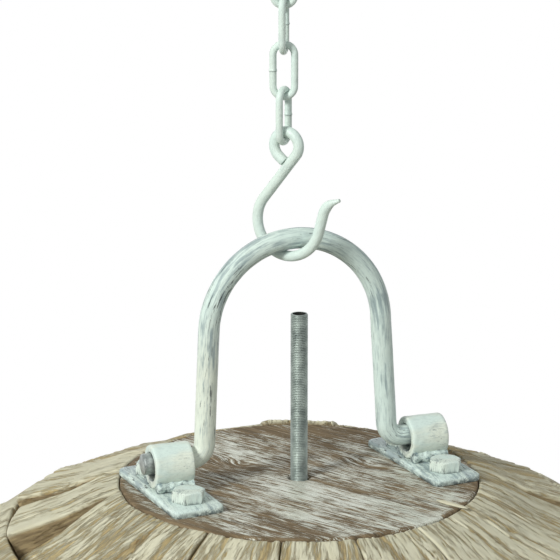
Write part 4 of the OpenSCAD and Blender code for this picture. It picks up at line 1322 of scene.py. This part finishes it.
for number, boards in enumerate(courses, start=1):
    luck = np.random.default_rng(900 + number)
    skins = []
    for k, corners in enumerate(boards):
        if number == 1:
            tone, look = first_look(corners)
        else:
            tone, look = luck.uniform(0.25, 0.85), (luck.uniform(0.2, 0.9), None, 0, LOWER_RISE)
        skin = board_mesh(corners, FIRST_GRID if number == 1 else LOWER_GRID, 100 * number + k, *look)
        skins.append((*skin, np.full(len(skin[0]), tone)))
    points, faces, *values = join_skins(skins)
    make_piece(f"boards_{number}", points, faces, [board_finish], "shade", [f"stave_course_{number}"],
               dict(zip(("grain", "low", "bare", "tone"), values)), crease=50)

# %% [markdown]
# A splinter of whitewashed wood is stuck on the disc's rim. It is a row of small uneven
# sections, thin at both ends, with the finish of the boards.

# %% Splinter
SPLINTER_ENDS = (np.array([57.4, -65.6]) * MM, np.array([67.5, -84.3]) * MM)
SPLINTER_HALF = 1.9 * MM
SPLINTER_TONE = 1.6


def splinter(seed, sections=26, sides=10):
    """Uneven oval sections from one end to the other, lying on the disc."""
    first, last = SPLINTER_ENDS
    ahead = (last - first) / np.linalg.norm(last - first)
    across = np.array([-ahead[1], ahead[0]])
    angle = round_angles(sides)
    loops = []
    for along in np.linspace(0, 1, sections):
        full = 0.25 + 0.75 * step_up(min(along, 1 - along), 0, 0.22)
        full *= 0.7 + 0.6 * rough_noise([[along * 7, seed, 0.5]], 3, seed)[0]
        flat = first + (last - first) * along + across * SPLINTER_HALF * full * np.cos(angle)[:, None]
        tall = DISC_PROUD + (0.5 + 0.8 * full * np.sin(angle)) * MM
        loops.append(np.column_stack([flat, tall]))
    return stack_loops(loops)


points, faces = splinter(71)
plain = np.zeros(len(points))
make_piece("splinter", points + np.array(SHADE), faces, [board_finish], "shade",
           values={"grain": points[:, [1, 0, 2]], "low": plain, "bare": plain,
                   "tone": plain + SPLINTER_TONE}, crease=40)

# %% [markdown]
# ## The solids that stay
#
# The ceiling plate, the fasteners, the frame and the lamp's inside have the right shape already,
# so these solids stay and only get a finish. Each recipe is a cloud of two tones with a fine
# bump, read from the place on the solid: black paint on the frame, enamel on the wiring pan,
# glazed holders, brass caps, opal bulbs, and plywood whose painted fibres run down the dome.

# %% Finishes of the solids that stay
def two_tone(name, dark, light, roughness, scale, depth, metallic=0.0, stretch=(1, 1, 1)):
    """Two close tones in clouds, with a fine bump of the given depth."""
    make = Finish(name, roughness=roughness, metallic=metallic)
    cloud = make.noise(make.place(scale=stretch), scale, 4, 0.6)
    fine = make.noise(make.place(scale=stretch), scale * 8, 3)
    colour = make.ramp(cloud, [(0.35, dark), (0.65, light)])
    rough = make.plus(make.times(fine, 0.2), roughness - 0.1)
    return make.finish(colour, rough, make.bump(fine, depth))


black_paint = two_tone(
    "black paint on the frame", (0.030, 0.032, 0.034), (0.075, 0.077, 0.08), 0.5, 60, 0.00015)
enamel = two_tone("white enamel", (0.76, 0.76, 0.71), (0.86, 0.86, 0.82), 0.24, 35, 0.00003)
glaze = two_tone("glazed holders", (0.80, 0.785, 0.73), (0.88, 0.87, 0.83), 0.2, 45, 0.00002)
brass = two_tone("brass caps", (0.52, 0.37, 0.14), (0.74, 0.57, 0.26), 0.3, 220, 0.00004, metallic=1.0)
opal = two_tone("opal glass", (0.84, 0.84, 0.80), (0.90, 0.90, 0.87), 0.18, 25, 0.00001)
painted_ply = two_tone("painted plywood", (0.63, 0.60, 0.50), (0.84, 0.83, 0.76), 0.65, 90, 0.0004,
                       stretch=(1, 1, 0.12))
ceiling_paint = painted_steel("paint on the ceiling plate", 0.15, along=0.5, attribute=None, cream=0.3)

FINISH_OF = {
    ceiling_paint: ["ceiling_plate", "ceiling_eye", "eye_nut"],
    galvanised: ["bolt_washers", "bolt_nuts", "tube_nuts", "tube_washers", "cluster_screws",
                 "holder_nipples", "nipple_nuts"],
    painted_ply: ["liner_upper", "liner_lower"],
    black_paint: ["frame_plate", "frame_ribs", "frame_hoop", "rim_hoop"],
    enamel: ["cluster_cover", "cluster_body"],
    glaze: ["terminal_block"]}
for finish, family in ((glaze, "lampholder"), (brass, "bulb_cap"), (opal, "bulb_glass")):
    FINISH_OF.setdefault(finish, []).extend(f"{family}_{number}" for number in (1, 2, 3))
for finish, kept in FINISH_OF.items():
    for node in kept:
        for place in node_objects[node].material_slots:
            place.material = finish
print("solids with a finish:", sum(len(kept) for kept in FINISH_OF.values()))

# %% [markdown]
# ## Size
#
# The dressed lamp is meant to fill the same box as the solids.
